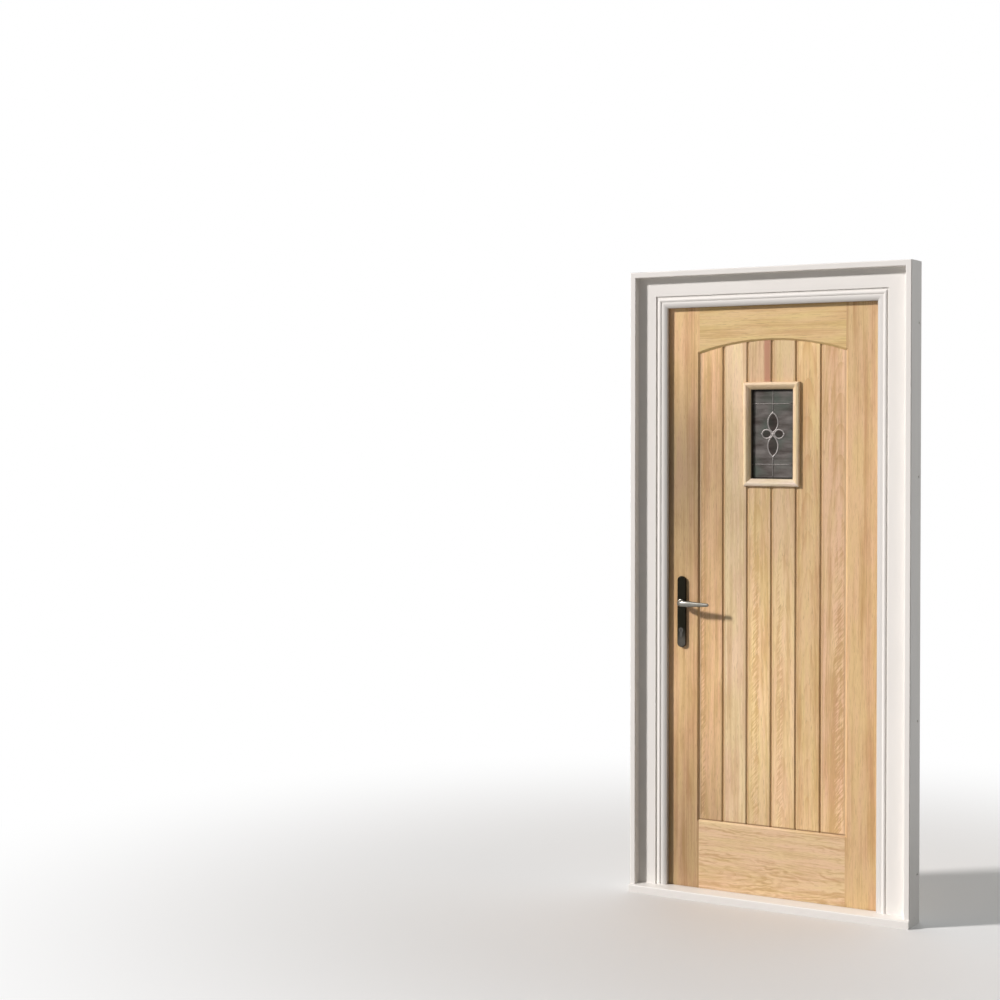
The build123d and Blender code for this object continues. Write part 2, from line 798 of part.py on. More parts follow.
with BuildPart() as inner_lever:
    mirror(outer_lever.part, about=Plane.XZ.offset(-mid_y))
pieces["inner_lever"] = inner_lever.part

with BuildPart() as spindle:
    with BuildSketch(at_y(mid_y)):
        with Locations((lock_x, lever_z)):
            Rectangle(spindle_s, spindle_s)
    extrude(amount=leaf_t / 2 + spindle_sink, both=True)
pieces["spindle"] = spindle.part

# Follower in the lock case, turned by the spindle; its arm draws the latch back
with BuildPart() as follower:
    with BuildSketch(at_y(mid_y)):
        with Locations((lock_x, lever_z)):
            Circle(follower_r)
        with Locations((lock_x, lever_z + arm_l / 2)):
            Rectangle(arm_w, arm_l)
    extrude(amount=cavity_y - follower_side, both=True)
    with BuildSketch(at_y(mid_y)):
        with Locations((lock_x, lever_z)):
            Circle(journal_r)
    extrude(amount=case_t / 2, both=True)
    with BuildSketch(at_y(mid_y)):
        with Locations((lock_x, lever_z)):
            Rectangle(spindle_s, spindle_s)
    extrude(amount=case_t, both=True, mode=Mode.SUBTRACT)
pieces["follower"] = follower.part

# Lock case, open towards its forend
with BuildPart() as lock_case:
    with BuildSketch(at_y(mid_y)):
        with Locations(((forend_x + case_x1) / 2, (case_z0 + case_z1) / 2)):
            Rectangle(case_x1 - forend_x, case_z1 - case_z0)
    extrude(amount=case_t / 2, both=True)
    with BuildSketch(at_y(mid_y)):
        with Locations(((forend_x + case_x1) / 2 - case_wall / 2, (case_z0 + case_z1) / 2)):
            Rectangle(case_x1 - forend_x - case_wall, case_z1 - case_z0 - 2 * case_wall)
    extrude(amount=cavity_y, both=True, mode=Mode.SUBTRACT)
    with BuildSketch(at_y(mid_y)):
        with Locations((lock_x, lever_z)):
            Circle(journal_r + run_clear)
    extrude(amount=case_t, both=True, mode=Mode.SUBTRACT)
    extrude(euro_outline(at_y(mid_y), cyl_clear), amount=case_t, both=True, mode=Mode.SUBTRACT)
pieces["lock_case"] = lock_case.part

cyl_screw_z = cyl_z - (cam_sweep_r + cyl_depth - cyl_r) / 2
with BuildPart() as forend:
    with BuildSketch(Plane.YZ.offset(-edge_x)):
        with Locations((mid_y, (case_z0 + case_z1) / 2)):
            SlotOverall(case_z1 - case_z0 + 2 * forend_reach, forend_w, rotation=90)
        with Locations((mid_y, latch_z)):
            Rectangle(latch_t + 2 * slide_clear, latch_h + 2 * slide_clear, mode=Mode.SUBTRACT)
        with Locations((mid_y, bolt_z)):
            Rectangle(latch_t + 2 * slide_clear, bolt_h + 2 * slide_clear, mode=Mode.SUBTRACT)
    extrude(amount=forend_t)
    with Locations(Plane(origin=(-edge_x, mid_y, cyl_screw_z), x_dir=(0, 1, 0), z_dir=(-1, 0, 0))):
        CounterSinkHole(cyl_screw_r + run_clear, cyl_screw_head_r, depth=forend_t)
pieces["forend"] = forend.part

# Latch bolt with its bevel on the outer side, and a lug behind the follower's arm
lug_x = lock_x + arm_w / 2 + lug_gap
lug_end = lug_x + lug_l
with BuildPart() as latch_bolt:
    with BuildSketch(Plane.XY.offset(latch_z)):
        with BuildLine():
            Polyline(
                (-edge_x - latch_out, mid_y + latch_t / 2),
                (-edge_x - latch_out, mid_y + latch_t / 2 - latch_nose),
                (-edge_x - latch_heel, mid_y - latch_t / 2),
                (latch_l - latch_out - edge_x, mid_y - latch_t / 2),
                (latch_l - latch_out - edge_x, mid_y + latch_t / 2),
                (-edge_x - latch_out, mid_y + latch_t / 2),
            )
        make_face()
    extrude(amount=latch_h / 2, both=True)
    with BuildSketch(at_y(mid_y)):
        with Locations(((latch_l - latch_out - edge_x + lug_end) / 2, latch_z)):
            Rectangle(lug_end - latch_l + latch_out + edge_x, latch_h / 2)
        with Locations(((lug_x + lug_end) / 2, (latch_z + lever_z + follower_r + lug_lift) / 2)):
            Rectangle(lug_l, latch_z - lever_z - follower_r - lug_lift)
    extrude(amount=latch_t / 2, both=True)
pieces["latch_bolt"] = latch_bolt.part

# Dead bolt, drawn back at rest, with a forked tail over the cam of the cylinder
tail_x = case_x1 - case_wall - tail_gap
fork_z = cyl_z + cam_r + fork_gap
with BuildPart() as dead_bolt:
    with BuildSketch(at_y(mid_y)):
        with Locations((bolt_l / 2 - edge_x, bolt_z)):
            Rectangle(bolt_l, bolt_h)
        with Locations(((bolt_l - edge_x + tail_x) / 2, bolt_z)):
            Rectangle(tail_x - bolt_l + edge_x, bolt_h / 2)
    extrude(amount=latch_t / 2, both=True)
    with BuildSketch(at_y(mid_y)):
        with Locations((lock_x, (bolt_z + fork_z) / 2)):
            Rectangle(fork_w, bolt_z - fork_z)
        with Locations((lock_x, fork_z + fork_depth / 2)):
            Rectangle(fork_slot, fork_depth, mode=Mode.SUBTRACT)
    extrude(amount=latch_t / 2, both=True)
pieces["dead_bolt"] = dead_bolt.part

# Cylinder body: two profile halves joined by a bridge under the cam
body_out = plate_out - cyl_proud
body_in = 2 * mid_y - body_out
with BuildPart() as cylinder_body:
    extrude(euro_outline(at_y(body_in), 0), amount=body_in - body_out)
    with BuildSketch(at_y(mid_y)):
        with Locations((lock_x, cyl_z)):
            Circle(plug_r + run_clear)
    extrude(amount=body_in - body_out, both=True, mode=Mode.SUBTRACT)
    with BuildSketch(at_y(mid_y)):
        with Locations((lock_x, cyl_z)):
            Circle(cam_sweep_r)
    extrude(amount=cam_gap / 2, both=True, mode=Mode.SUBTRACT)
    with BuildSketch(Plane.YZ.offset(lock_x)):
        with Locations((mid_y, cyl_screw_z)):
            Circle(cyl_screw_r)
    extrude(amount=cyl_stem_w, both=True, mode=Mode.SUBTRACT)
pieces["cylinder_body"] = cylinder_body.part

with BuildPart() as cylinder_plug:
    with BuildSketch(at_y(body_in)):
        with Locations((lock_x, cyl_z)):
            Circle(plug_r)
    extrude(amount=body_in - body_out)
    with BuildSketch(at_y(mid_y)):
        with Locations((lock_x, cyl_z)):
            Circle(cam_hub_r)
        with Locations((lock_x, cyl_z - cam_r / 2)):
            Rectangle(cam_w, cam_r)
    extrude(amount=cam_gap / 2 - cam_side, both=True)
    with BuildSketch(at_y(body_out + keyway_d)):
        with Locations((lock_x, cyl_z - keyway_drop)):
            Rectangle(keyway_w, keyway_h)
    extrude(amount=keyway_d, mode=Mode.SUBTRACT)
    with BuildSketch(at_y(body_in)):
        with Locations((lock_x, cyl_z - keyway_drop)):
            Rectangle(keyway_w, keyway_h)
    extrude(amount=keyway_d, mode=Mode.SUBTRACT)
pieces["cylinder_plug"] = cylinder_plug.part

with BuildPart() as cylinder_screw:
    with BuildSketch(Plane(origin=(-edge_x, mid_y, cyl_screw_z), x_dir=(0, 1, 0), z_dir=(1, 0, 0))):
        Circle(cyl_screw_r)
    extrude(amount=lock_x + cyl_stem_w / 2 + edge_x)
pieces["cylinder_screw"] = cylinder_screw.part

# Lock jamb: the blank turned over, with pockets for the bolts and a sinking for the plate
strike_z0 = bolt_z - bolt_h / 2 - strike_reach
strike_z1 = latch_z + latch_h / 2 + strike_reach
hole_t = latch_t + 2 * strike_clear
with BuildPart() as jamb_lock_side:
    mirror(jamb_blank.part, about=Plane.YZ)
    with BuildSketch(Plane.YZ.offset(-rebate_x)):
        with Locations((mid_y, (strike_z0 + strike_z1) / 2)):
            Rectangle(strike_w, strike_z1 - strike_z0)
    extrude(amount=-strike_t, mode=Mode.SUBTRACT)
    with BuildSketch(Plane.YZ.offset(-rebate_x)):
        with Locations((mid_y, latch_z)):
            Rectangle(hole_t, latch_h + 2 * strike_clear)
        with Locations((mid_y, bolt_z)):
            Rectangle(hole_t, bolt_h + 2 * strike_clear)
    extrude(amount=-(bolt_throw + pocket_more), mode=Mode.SUBTRACT)
pieces["jamb_lock_side"] = jamb_lock_side.part

with BuildPart() as strike_plate:
    with BuildSketch(Plane.YZ.offset(-rebate_x)):
        with Locations((mid_y, (strike_z0 + strike_z1) / 2)):
            Rectangle(strike_w, strike_z1 - strike_z0)
        with Locations((mid_y, latch_z)):
            Rectangle(hole_t, latch_h + 2 * strike_clear, mode=Mode.SUBTRACT)
        with Locations((mid_y, bolt_z)):
            Rectangle(hole_t, bolt_h + 2 * strike_clear, mode=Mode.SUBTRACT)
    extrude(amount=-strike_t)
    for z in (strike_z0 + strike_reach / 2, strike_z1 - strike_reach / 2):
        with Locations(Plane(origin=(-rebate_x, mid_y, z), x_dir=(0, 1, 0), z_dir=(1, 0, 0))):
            CounterSinkHole(csk_hole_r, strike_csk_r, depth=strike_t)
pieces["strike_plate"] = strike_plate.part

# Hinge jamb, with a sinking for each flap
with BuildPart() as jamb_hinge_side:
    add(jamb_blank.part)
    for z in hinge_zs:
        with BuildSketch(Plane.YZ.offset(rebate_x)):
            with Locations((leaf_in - flap_w / 2, z)):
                Rectangle(flap_w, hinge_h)
        extrude(amount=flap_t, mode=Mode.SUBTRACT)
pieces["jamb_hinge_side"] = jamb_hinge_side.part

# Hinges: five knuckles on a pin, odd ones on the frame's flap and even ones on the leaf's
knuckle_h = hinge_h / knuckle_count
csk_far = hinge_h / 2 - csk_end
csk_near = csk_far - csk_pitch
screw_spots = [
    (csk_row / 2, csk_far),
    (-csk_row / 2, csk_near),
    (csk_row / 2, -csk_near),
    (-csk_row / 2, -csk_far),
]
for name, z in zip(hinge_names, hinge_zs):
    z0 = z - hinge_h / 2
    frame_levels = [z0 + knuckle_h * k for k in range(0, knuckle_count, 2)]
    leaf_levels = [z0 + knuckle_h * k for k in range(1, knuckle_count, 2)]
    with BuildPart() as frame_flap:
        with BuildSketch(Plane.YZ.offset(rebate_x)):
            with Locations((leaf_in - flap_w / 2, z)):
                Rectangle(flap_w, hinge_h)
            for level in frame_levels:
                with Locations((leaf_in + knuckle_out / 2, level + knuckle_h / 2)):
                    Rectangle(knuckle_out, knuckle_h)
        extrude(amount=flap_t)
        for level in frame_levels:
            with BuildSketch(Plane.XY.offset(level)):
                with Locations((hinge_x, hinge_y)):
                    Circle(knuckle_r)
            extrude(amount=knuckle_h)
        with Locations((hinge_x, hinge_y, z)):
            Cylinder(pin_r + run_clear, hinge_h, mode=Mode.SUBTRACT)
        face = Plane(origin=(rebate_x, leaf_in - flap_w / 2, z), x_dir=(0, 1, 0), z_dir=(-1, 0, 0))
        with Locations(face):
            with Locations(*screw_spots):
                CounterSinkHole(csk_hole_r, csk_r, depth=flap_t)
    pieces[f"hinge_{name}_frame_flap"] = frame_flap.part
    with BuildPart() as leaf_flap:
        with BuildSketch(Plane.YZ.offset(edge_x)):
            with Locations((leaf_in - flap_w / 2, z)):
                Rectangle(flap_w, hinge_h)
            for level in leaf_levels:
                with Locations((leaf_in + knuckle_out / 2, level + knuckle_h / 2)):
                    Rectangle(knuckle_out, knuckle_h - 2 * knuckle_clear)
        extrude(amount=-flap_t)
        for level in leaf_levels:
            with BuildSketch(Plane.XY.offset(level + knuckle_clear)):
                with Locations((hinge_x, hinge_y)):
                    Circle(knuckle_r)
            extrude(amount=knuckle_h - 2 * knuckle_clear)
        with Locations((hinge_x, hinge_y, z)):
            Cylinder(pin_r + run_clear, hinge_h, mode=Mode.SUBTRACT)
        face = Plane(origin=(edge_x, leaf_in - flap_w / 2, z), x_dir=(0, 1, 0), z_dir=(1, 0, 0))
        with Locations(face):
            with Locations(*screw_spots):
                CounterSinkHole(csk_hole_r, csk_r, depth=flap_t)
    pieces[f"hinge_{name}_leaf_flap"] = leaf_flap.part
    with BuildPart() as pin:
        with Locations((hinge_x, hinge_y, z)):
            Cylinder(pin_r, hinge_h)
        with Locations((hinge_x, hinge_y, z + hinge_h / 2 + pin_head / 2)):
            Cylinder(pin_head_r, pin_head)
        chamfer(pin.edges().group_by(Axis.Z)[-1], length=pin_head / 3)
    pieces[f"hinge_{name}_pin"] = pin.part

for name, piece in pieces.items():
    piece.label = name
    export_step(piece, f"parts/{name}.step")
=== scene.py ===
"""Finishes, fittings and stage of a boarded front door in its painted frame."""

import json
import math

import bmesh
import bpy
import numpy as np
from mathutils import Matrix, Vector
from bpy.props import FloatProperty, FloatVectorProperty, PointerProperty
from bpy.types import Operator, Panel, PropertyGroup

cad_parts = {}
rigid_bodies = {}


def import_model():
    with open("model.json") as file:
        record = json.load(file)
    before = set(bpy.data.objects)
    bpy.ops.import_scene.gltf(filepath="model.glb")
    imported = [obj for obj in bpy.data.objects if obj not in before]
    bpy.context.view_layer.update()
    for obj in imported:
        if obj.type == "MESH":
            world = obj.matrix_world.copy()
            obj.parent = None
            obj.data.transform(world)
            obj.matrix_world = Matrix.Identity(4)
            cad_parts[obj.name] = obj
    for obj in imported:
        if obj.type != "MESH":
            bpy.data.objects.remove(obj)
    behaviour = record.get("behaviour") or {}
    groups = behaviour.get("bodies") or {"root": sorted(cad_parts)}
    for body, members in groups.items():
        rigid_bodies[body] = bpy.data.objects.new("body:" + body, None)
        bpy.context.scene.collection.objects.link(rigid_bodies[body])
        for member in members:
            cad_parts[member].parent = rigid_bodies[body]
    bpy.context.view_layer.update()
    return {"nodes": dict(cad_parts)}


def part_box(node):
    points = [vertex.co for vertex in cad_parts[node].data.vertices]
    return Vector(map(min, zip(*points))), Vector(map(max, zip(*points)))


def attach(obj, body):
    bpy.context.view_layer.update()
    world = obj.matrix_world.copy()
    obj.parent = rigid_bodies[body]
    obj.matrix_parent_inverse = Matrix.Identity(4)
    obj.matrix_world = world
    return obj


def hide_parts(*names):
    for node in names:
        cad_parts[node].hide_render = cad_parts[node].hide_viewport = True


bl_info = {
    "name": "Boarded front door",
    "version": (1, 0, 0),
    "blender": (4, 5, 0),
    "location": "3D View > Sidebar > Front door",
    "description": "Finishes and fittings of a boarded oak front door in its painted frame",
    "category": "Add Mesh",
}

for leftover in list(bpy.data.objects):
    bpy.data.objects.remove(leftover)
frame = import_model()
nodes = frame["nodes"]

MM = 0.001
BOARD_W = (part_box("board_3_lower")[0].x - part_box("board_2")[0].x) / MM
RAIL_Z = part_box("bottom_rail")[1].z
# metres above the foot of the sill at which the colour factor of each timber is given
TONE_HEIGHTS = (0.15, 0.75, 1.45, 1.90)
# millimetres across, through and along the grain by which each seed moves the pattern
SEED_STEP = (37.0, 11.0, 613.0)
# the sockets of a Mix node that blends two colours
FAC, A, B = 0, 6, 7
HINGES = ("bottom", "middle", "top")


def linear(code):
    """Linear red, green and blue of an sRGB hex colour."""
    channels = [int(code[i : i + 2], 16) / 255 for i in (0, 2, 4)]
    return [c / 12.92 if c <= 0.04045 else ((c + 0.055) / 1.055) ** 2.4 for c in channels]


def rgba(colour):
    """A hex colour or linear red, green and blue as the four numbers a socket takes."""
    three = linear(colour) if isinstance(colour, str) else list(colour)
    return (*three, 1.0)


def colour_property(name, code, description):
    """A colour setting, from its hex colour."""
    return FloatVectorProperty(
        name=name, description=description, default=linear(code), min=0, max=1, subtype="COLOR"
    )


def length_property(name, millimetres, description):
    """A length setting, from its millimetres."""
    return FloatProperty(
        name=name, description=description, default=millimetres * MM, min=0, unit="LENGTH"
    )


class OakSettings(PropertyGroup):
    ring: length_property("Ring spacing", 5.0, "Width of one year's growth, drawn coarse enough to show")
    pore: length_property("Pore width", 1.3, "Width of one line of open pores")
    wobble: length_property("Wobble", 9.0, "How far the growth rings wander from straight")
    pore_colour: colour_property("Pores", "8F653C", "Oil gathered in the open pores")
    groove_colour: colour_property("Joints", "8A6844", "Shade and dust at the foot of a V joint")
    roughness: FloatProperty(name="Roughness", description="Satin of the clear finish", default=0.46)


class PaintSettings(PropertyGroup):
    colour: colour_property("Paint", "EEEAE4", "Warm white satin paint")
    stroke: length_property("Brush mark", 1.1, "Spacing of the marks the bristles leave")
    roughness: FloatProperty(name="Roughness", description="Satin of the paint", default=0.42)


class GlazingSettings(PropertyGroup):
    came: length_property("Came width", 5.6, "Width of one lead came of the flower")
    stem: length_property("Stem width", 3.4, "Width of the stems and cross bands")
    came_high: length_property("Came height", 1.6, "Height of a came above the glass")
    facet_high: length_property("Facet height", 0.6, "Height of a petal's glass facet above the pane")
    petal_up: length_property("Upper petal", 66.0, "Length of the upper petal")
    petal_down: length_property("Lower petal", 70.0, "Length of the lower petal")
    petal_side: length_property("Side petal", 34.0, "Length of each side petal")
    petal_wide: length_property("Petal width", 36.0, "Width of the upper and lower petals")
    side_wide: length_property("Side petal width", 29.0, "Width of the side petals")
    petal_gap: length_property("Petal gap", 5.0, "From the flower's centre to each petal")
    mould_crown: length_property("Mould crown", 16.5, "From the sight edge to the crest of the mould")
    mould_drop: length_property("Mould drop", 14.0, "From the crest down to the edge at the glass")
    mould_nose: length_property("Mould nose", 5.0, "From the crest down to the outer edge")
    band_inset: length_property("Band inset", 46.0, "From the sight edge to each cross band")


class HandleSettings(PropertyGroup):
    neck: length_property("Neck radius", 9.0, "Radius of the neck where it leaves the plate")
    grip_high: length_property("Grip height", 21.0, "Height of the grip at its root")
    grip_thick: length_property("Grip thickness", 15.0, "Thickness of the grip at its root")
    tip_high: length_property("Tip height", 11.0, "Height of the grip at its tip")
    tip_thick: length_property("Tip thickness", 8.0, "Thickness of the grip at its tip")
    sweep: length_property("Sweep", 42.0, "From the spindle to where the grip runs level with the door")


class StageSettings(PropertyGroup):
    key_strength: FloatProperty(name="Key lamp", description="Watts on each square metre", default=3.72)
    key_width: FloatProperty(
        name="Key width", description="Angle the lamp fills", default=math.radians(6.2), unit="ROTATION"
    )
    fill: FloatProperty(name="Fill", description="Strength of the soft light in front", default=0.1)
    lens: FloatProperty(
        name="Lens", description="Focal length on a 36 mm sensor", default=68.851, unit="CAMERA"
    )


SETTINGS = {
    "door_oak": OakSettings,
    "door_paint": PaintSettings,
    "door_glazing": GlazingSettings,
    "door_handle": HandleSettings,
    "door_stage": StageSettings,
}


def plug(tree, made, *sockets):
    """Fill a node's sockets, given in order or as one mapping from their names or numbers.

    A string stands for a hex colour, and a node for its first output in use.
    """
    given = sockets[0] if sockets and isinstance(sockets[0], dict) else dict(enumerate(sockets))
    for socket, value in given.items():
        if isinstance(value, str):
            value = rgba(value)
        if isinstance(value, bpy.types.Node):
            value = next(output for output in value.outputs if output.enabled)
        if isinstance(value, bpy.types.NodeSocket):
            tree.links.new(value, made.inputs[socket])
        else:
            made.inputs[socket].default_value = value
    return made


def add(tree, kind, *sockets, **settings):
    """Add one shader node with its settings, and fill its sockets.

    The kind of a sum carries its operation after a dot. The sockets of a map range are, in
    order, its value, the two ends that it comes from, and the two ends that it goes to.
    """
    kind, _, operation = kind.partition(".")
    made = tree.nodes.new("ShaderNode" + kind)
    if operation:
        made.operation = operation
    for name, value in settings.items():
        setattr(made, name, value)
    return plug(tree, made, *sockets)


def new_material(name, sockets):
    """A material with one Principled shader; returns it with its tree and shader."""
    made = bpy.data.materials.new(name)
    made.use_nodes = True
    tree = made.node_tree
    return made, tree, plug(tree, tree.nodes["Principled BSDF"], sockets)


def middle_of(name):
    """The middle of a CAD node's box, in metres."""
    low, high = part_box(name)
    return (np.array(low) + np.array(high)) / 2


def dress(material, *names):
    """Give CAD nodes a material in place of their own."""
    for name in names:
        mesh = nodes[name].data
        if mesh.materials:
            mesh.materials[0] = material
        else:
            mesh.materials.append(material)


def grain_space(tree, along, seed):
    """Object coordinates in millimetres as (across, through, along the grain), moved by a seed."""
    metres = add(tree, "SeparateXYZ", add(tree, "TexCoord").outputs["Object"])
    axes = "ZYX" if along == "X" else "XYZ"
    turned = add(tree, "CombineXYZ", *(metres.outputs[axis] for axis in axes))
    moved = [seed * step for step in SEED_STEP]
    space = add(tree, "Mapping", {0: turned, "Scale": [1 / MM] * 3, "Location": moved})
    return space, metres


def streaks(tree, space, width, length, detail=2.0):
    """Noise drawn out along the grain, about width by length millimetres."""
    scaled = add(tree, "VectorMath.MULTIPLY", space, (1 / width, 1 / width, 1 / length))
    return add(tree, "TexNoise", {0: scaled, "Scale": 1.0, "Detail": detail})


def arches(tree, space, radius, crown):
    """The arched figure of a wide flat sawn piece, with the weight crown, in patches.

    Growth rings of 3 mm are finer than a pixel, so the arches are drawn three times as wide.
    """
    half_wave = 5.0
    warp = add(tree, "Math.MULTIPLY_ADD", streaks(tree, space, 24, 80), 36.0, -18.0)
    wave = add(tree, "Math.PINGPONG", add(tree, "Math.ADD", radius, warp), half_wave)
    swell = add(tree, "Math.MULTIPLY_ADD", wave, 1 / half_wave, -0.5)
    patches = streaks(tree, space, 45, 200, 1.0)
    shown = add(tree, "MapRange", patches, 0.4, 0.62, 0.1 * crown, crown)
    return add(tree, "Math.MULTIPLY", shown, swell)


def ray_marks(tree, space, off, half, height):
    """Slanting marks where the saw met the rays of the wood, low on a board and half mm off a line."""
    slant = add(tree, "Mapping", {0: space, "Rotation": (0.0, math.radians(-38), 0.0)})
    rays = add(tree, "Math.MULTIPLY_ADD", streaks(tree, slant, 4.5, 32), 3.8, -1.75)
    band = add(tree, "MapRange", off, 0.4 * half, half, 1.0, 0.0)
    low = add(tree, "MapRange", height, 0.9, 1.4, 1.0, 0.0)
    return add(tree, "Math.MULTIPLY", add(tree, "Math.MULTIPLY", band, low), rays)


def red_heartwood(tree, colour, off, half, tone):
    """The colour with a streak of red heartwood half mm off a line, frayed by the tone of the grain."""
    frayed = add(tree, "Math.ADD", off, add(tree, "Math.MULTIPLY_ADD", tone, 16.0, -8.0))
    red = add(tree, "MapRange", frayed, 0.3 * half, half, 1.0, 0.0, interpolation_type="SMOOTHSTEP")
    return add(tree, "Mix", {FAC: red, A: colour, B: "B9876A"}, data_type="RGBA")


def sap_and_heart(tree, space, colour):
    """The colour leant to pink like heartwood and to straw like sapwood, in long soft patches."""
    patches = add(tree, "Math.MULTIPLY_ADD", streaks(tree, space, 26, 190), 4.0, -1.5)
    pink, straw = rgba((1.0, 0.92, 0.9)), rgba((0.98, 0.96, 0.83))
    tint = add(tree, "Mix", {FAC: patches, A: pink, B: straw}, data_type="RGBA")
    return add(tree, "Mix", {FAC: 1.0, A: colour, B: tint}, data_type="RGBA", blend_type="MULTIPLY")


def toned_by_height(tree, colour, height, height_tone):
    """The colour times the factor given for each timber at its foot, knee, waist and head."""
    top = 2.0
    ramp = add(tree, "ValToRGB", add(tree, "Math.DIVIDE", height, top))
    stops = ramp.color_ramp
    stops.interpolation = "EASE"
    for place, light in zip(TONE_HEIGHTS, height_tone):
        stops.elements.new(place / top).color = rgba((light, light, light))
    stops.elements.remove(stops.elements[0])
    stops.elements.remove(stops.elements[-1])
    return add(tree, "Mix", {FAC: 1.0, A: colour, B: ramp}, data_type="RGBA", blend_type="MULTIPLY")


def joint_light_and_shade(tree, colour, metres, edge_shade):
    """The colour with painted bounce light in each V joint, painted shade beside it, and a dark line
    along the bottom rail.
    """
    x_mm = add(tree, "Math.MULTIPLY", metres.outputs["X"], 1 / MM)
    gap = add(tree, "Math.PINGPONG", add(tree, "Math.ABSOLUTE", x_mm), BOARD_W / 2)
    # painted bounce light: the walls of the V are painted paler, as if lit by light thrown between them
    bounce_light = add(tree, "MapRange", gap, 2.4, 3.2, 0.9, 0.0)
    colour = add(tree, "Mix", {FAC: bounce_light, A: colour, B: "FFE2B4"}, data_type="RGBA")
    # painted shade lies to both sides of the V's edge, and a dark line runs where the boards meet the
    # bottom rail
    edge = 3.0
    beside = add(tree, "Math.MAXIMUM", gap, add(tree, "Math.SUBTRACT", 2 * edge, gap))
    foot = add(tree, "MapRange", beside, edge, 10.0, 0.46, 0.0)
    rail = add(tree, "MapRange", metres.outputs["Z"], RAIL_Z + 3 * MM, RAIL_Z + 6 * MM, 0.85, 0.0)
    shade_and_rail_line = add(tree, "Math.MAXIMUM", foot, rail)
    return add(tree, "Mix", {FAC: shade_and_rail_line, A: colour, B: rgba(edge_shade)}, data_type="RGBA")


def shaded_glass_edge(tree, colour, y):
    """The colour with near-black painted shade along the deep edge of a mould at the glass, where its
    shadow falls.
    """
    from_front = add(tree, "Math.SUBTRACT", y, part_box("outer_bead_right")[0].y)
    from_back = add(tree, "Math.SUBTRACT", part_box("inner_bead_right")[1].y, y)
    sunk = add(tree, "Math.MINIMUM", from_front, from_back)
    # painted shade, near black, on the part of the mould more than 10.5 mm deep
    glass_shade = add(tree, "MapRange", sunk, 10.5 * MM, 12.5 * MM, 0.0, 0.95)
    return add(tree, "Mix", {FAC: glass_shade, A: colour, B: "17130F"}, data_type="RGBA")


def oak(
    name, pale, dark, along, seed, heart, *,
    height_tone=None, joints=False, fleck=None, blush=None, crown=0.0, glass_shaded=False,
):
    """Planed white oak under a satin clear oil, flat sawn.

    A board is a slice of a log, so its rings are read as r = hypot(across - heart, through - depth),
    with a heart that sinks along the board, which gives straight lines at its edges and arches in
    its middle. Open pores make short dark dashes at the start of each ring, and oil settles in them.
    The four height factors scale the colour at four heights, set for each timber on its own. fleck
    gives the middle in mm across and the half width of a band of ray marks, and blush those of a
    streak of red heartwood. crown is the weight of the arched figure, joints adds painted bounce
    light in the V joints between boards, painted shade beside them and a dark line along the bottom
    rail, and the glass flag adds near-black painted shade at the mould's edge by the glass.
    """
    settings = bpy.context.scene.door_oak
    made, tree, shader = new_material(
        name, {"Roughness": settings.roughness, "IOR": 1.5, "Coat Weight": 0.12, "Coat Roughness": 0.3}
    )
    space, metres = grain_space(tree, along, seed)
    across, through, length = add(tree, "SeparateXYZ", space).outputs
    heart_x, heart_y, sink = heart
    shift_x, shift_y, shift_z = (seed * step for step in SEED_STEP)
    wobble = settings.wobble / MM
    wander = add(tree, "Math.MULTIPLY_ADD", streaks(tree, space, 55, 340, 3.0), 2 * wobble, -wobble)
    off_x = add(tree, "Math.ADD", add(tree, "Math.SUBTRACT", across, heart_x + shift_x), wander)
    rise = add(tree, "Math.MULTIPLY_ADD", length, -sink, sink * shift_z - heart_y - shift_y)
    slice_at = add(tree, "CombineXYZ", off_x, add(tree, "Math.ADD", through, rise))
    radius = add(tree, "VectorMath.LENGTH", slice_at)
    ring = add(tree, "Math.FRACT", add(tree, "Math.DIVIDE", radius, settings.ring / MM))
    tone = streaks(tree, space, 13, 520, 3.0)
    fibre = streaks(tree, space, 3.0, 150, 3.0)
    # late wood darkens the end of each ring, under four layers of noise from broad to fine
    figure = add(tree, "Math.MULTIPLY", add(tree, "Math.POWER", ring, 3.0), 0.5)
    for layer, weight, base in (
        (streaks(tree, space, 34, 900), 2.2, -1.1),
        (streaks(tree, space, 42, 150), 1.6, -0.8),
        (tone, 2.4, -1.05),
        (fibre, 1.4, -0.65),
    ):
        figure = add(tree, "Math.ADD", figure, add(tree, "Math.MULTIPLY_ADD", layer, weight, base))
    if crown:
        figure = add(tree, "Math.ADD", figure, arches(tree, space, radius, crown))
    if fleck:
        middle, half = fleck
        off = add(tree, "Math.ABSOLUTE", add(tree, "Math.SUBTRACT", across, middle + shift_x))
        marks = ray_marks(tree, space, off, half, metres.outputs["Z"])
        figure = add(tree, "Math.ADD", figure, marks)
    wood = add(tree, "Mix", {FAC: figure, A: pale, B: dark}, data_type="RGBA")
    dashes = add(tree, "MapRange", streaks(tree, space, settings.pore / MM, 26, 1.0), 0.54, 0.66)
    early = add(tree, "Math.MULTIPLY", dashes, add(tree, "Math.SUBTRACT", 1.0, ring))
    oiled = add(tree, "Math.MULTIPLY", early, 0.42)
    colour = add(tree, "Mix", {FAC: oiled, A: wood, B: rgba(settings.pore_colour)}, data_type="RGBA")
    if blush:
        middle, half = blush
        off = add(tree, "Math.ABSOLUTE", add(tree, "Math.SUBTRACT", across, middle + shift_x))
        colour = red_heartwood(tree, colour, off, half, tone)
    colour = sap_and_heart(tree, space, colour)
    if height_tone:
        colour = toned_by_height(tree, colour, metres.outputs["Z"], height_tone)
    if joints:
        colour = joint_light_and_shade(tree, colour, metres, settings.groove_colour)
    if glass_shaded:
        colour = shaded_glass_edge(tree, colour, metres.outputs["Y"])
    relief = add(tree, "Math.MULTIPLY_ADD", early, -1.0, add(tree, "Math.MULTIPLY", fibre, 0.4))
    bump = add(tree, "Bump", {"Strength": 0.35, "Distance": 0.35 * MM, "Height": relief})
    plug(tree, shader, {"Base Color": colour, "Normal": bump})
    return made


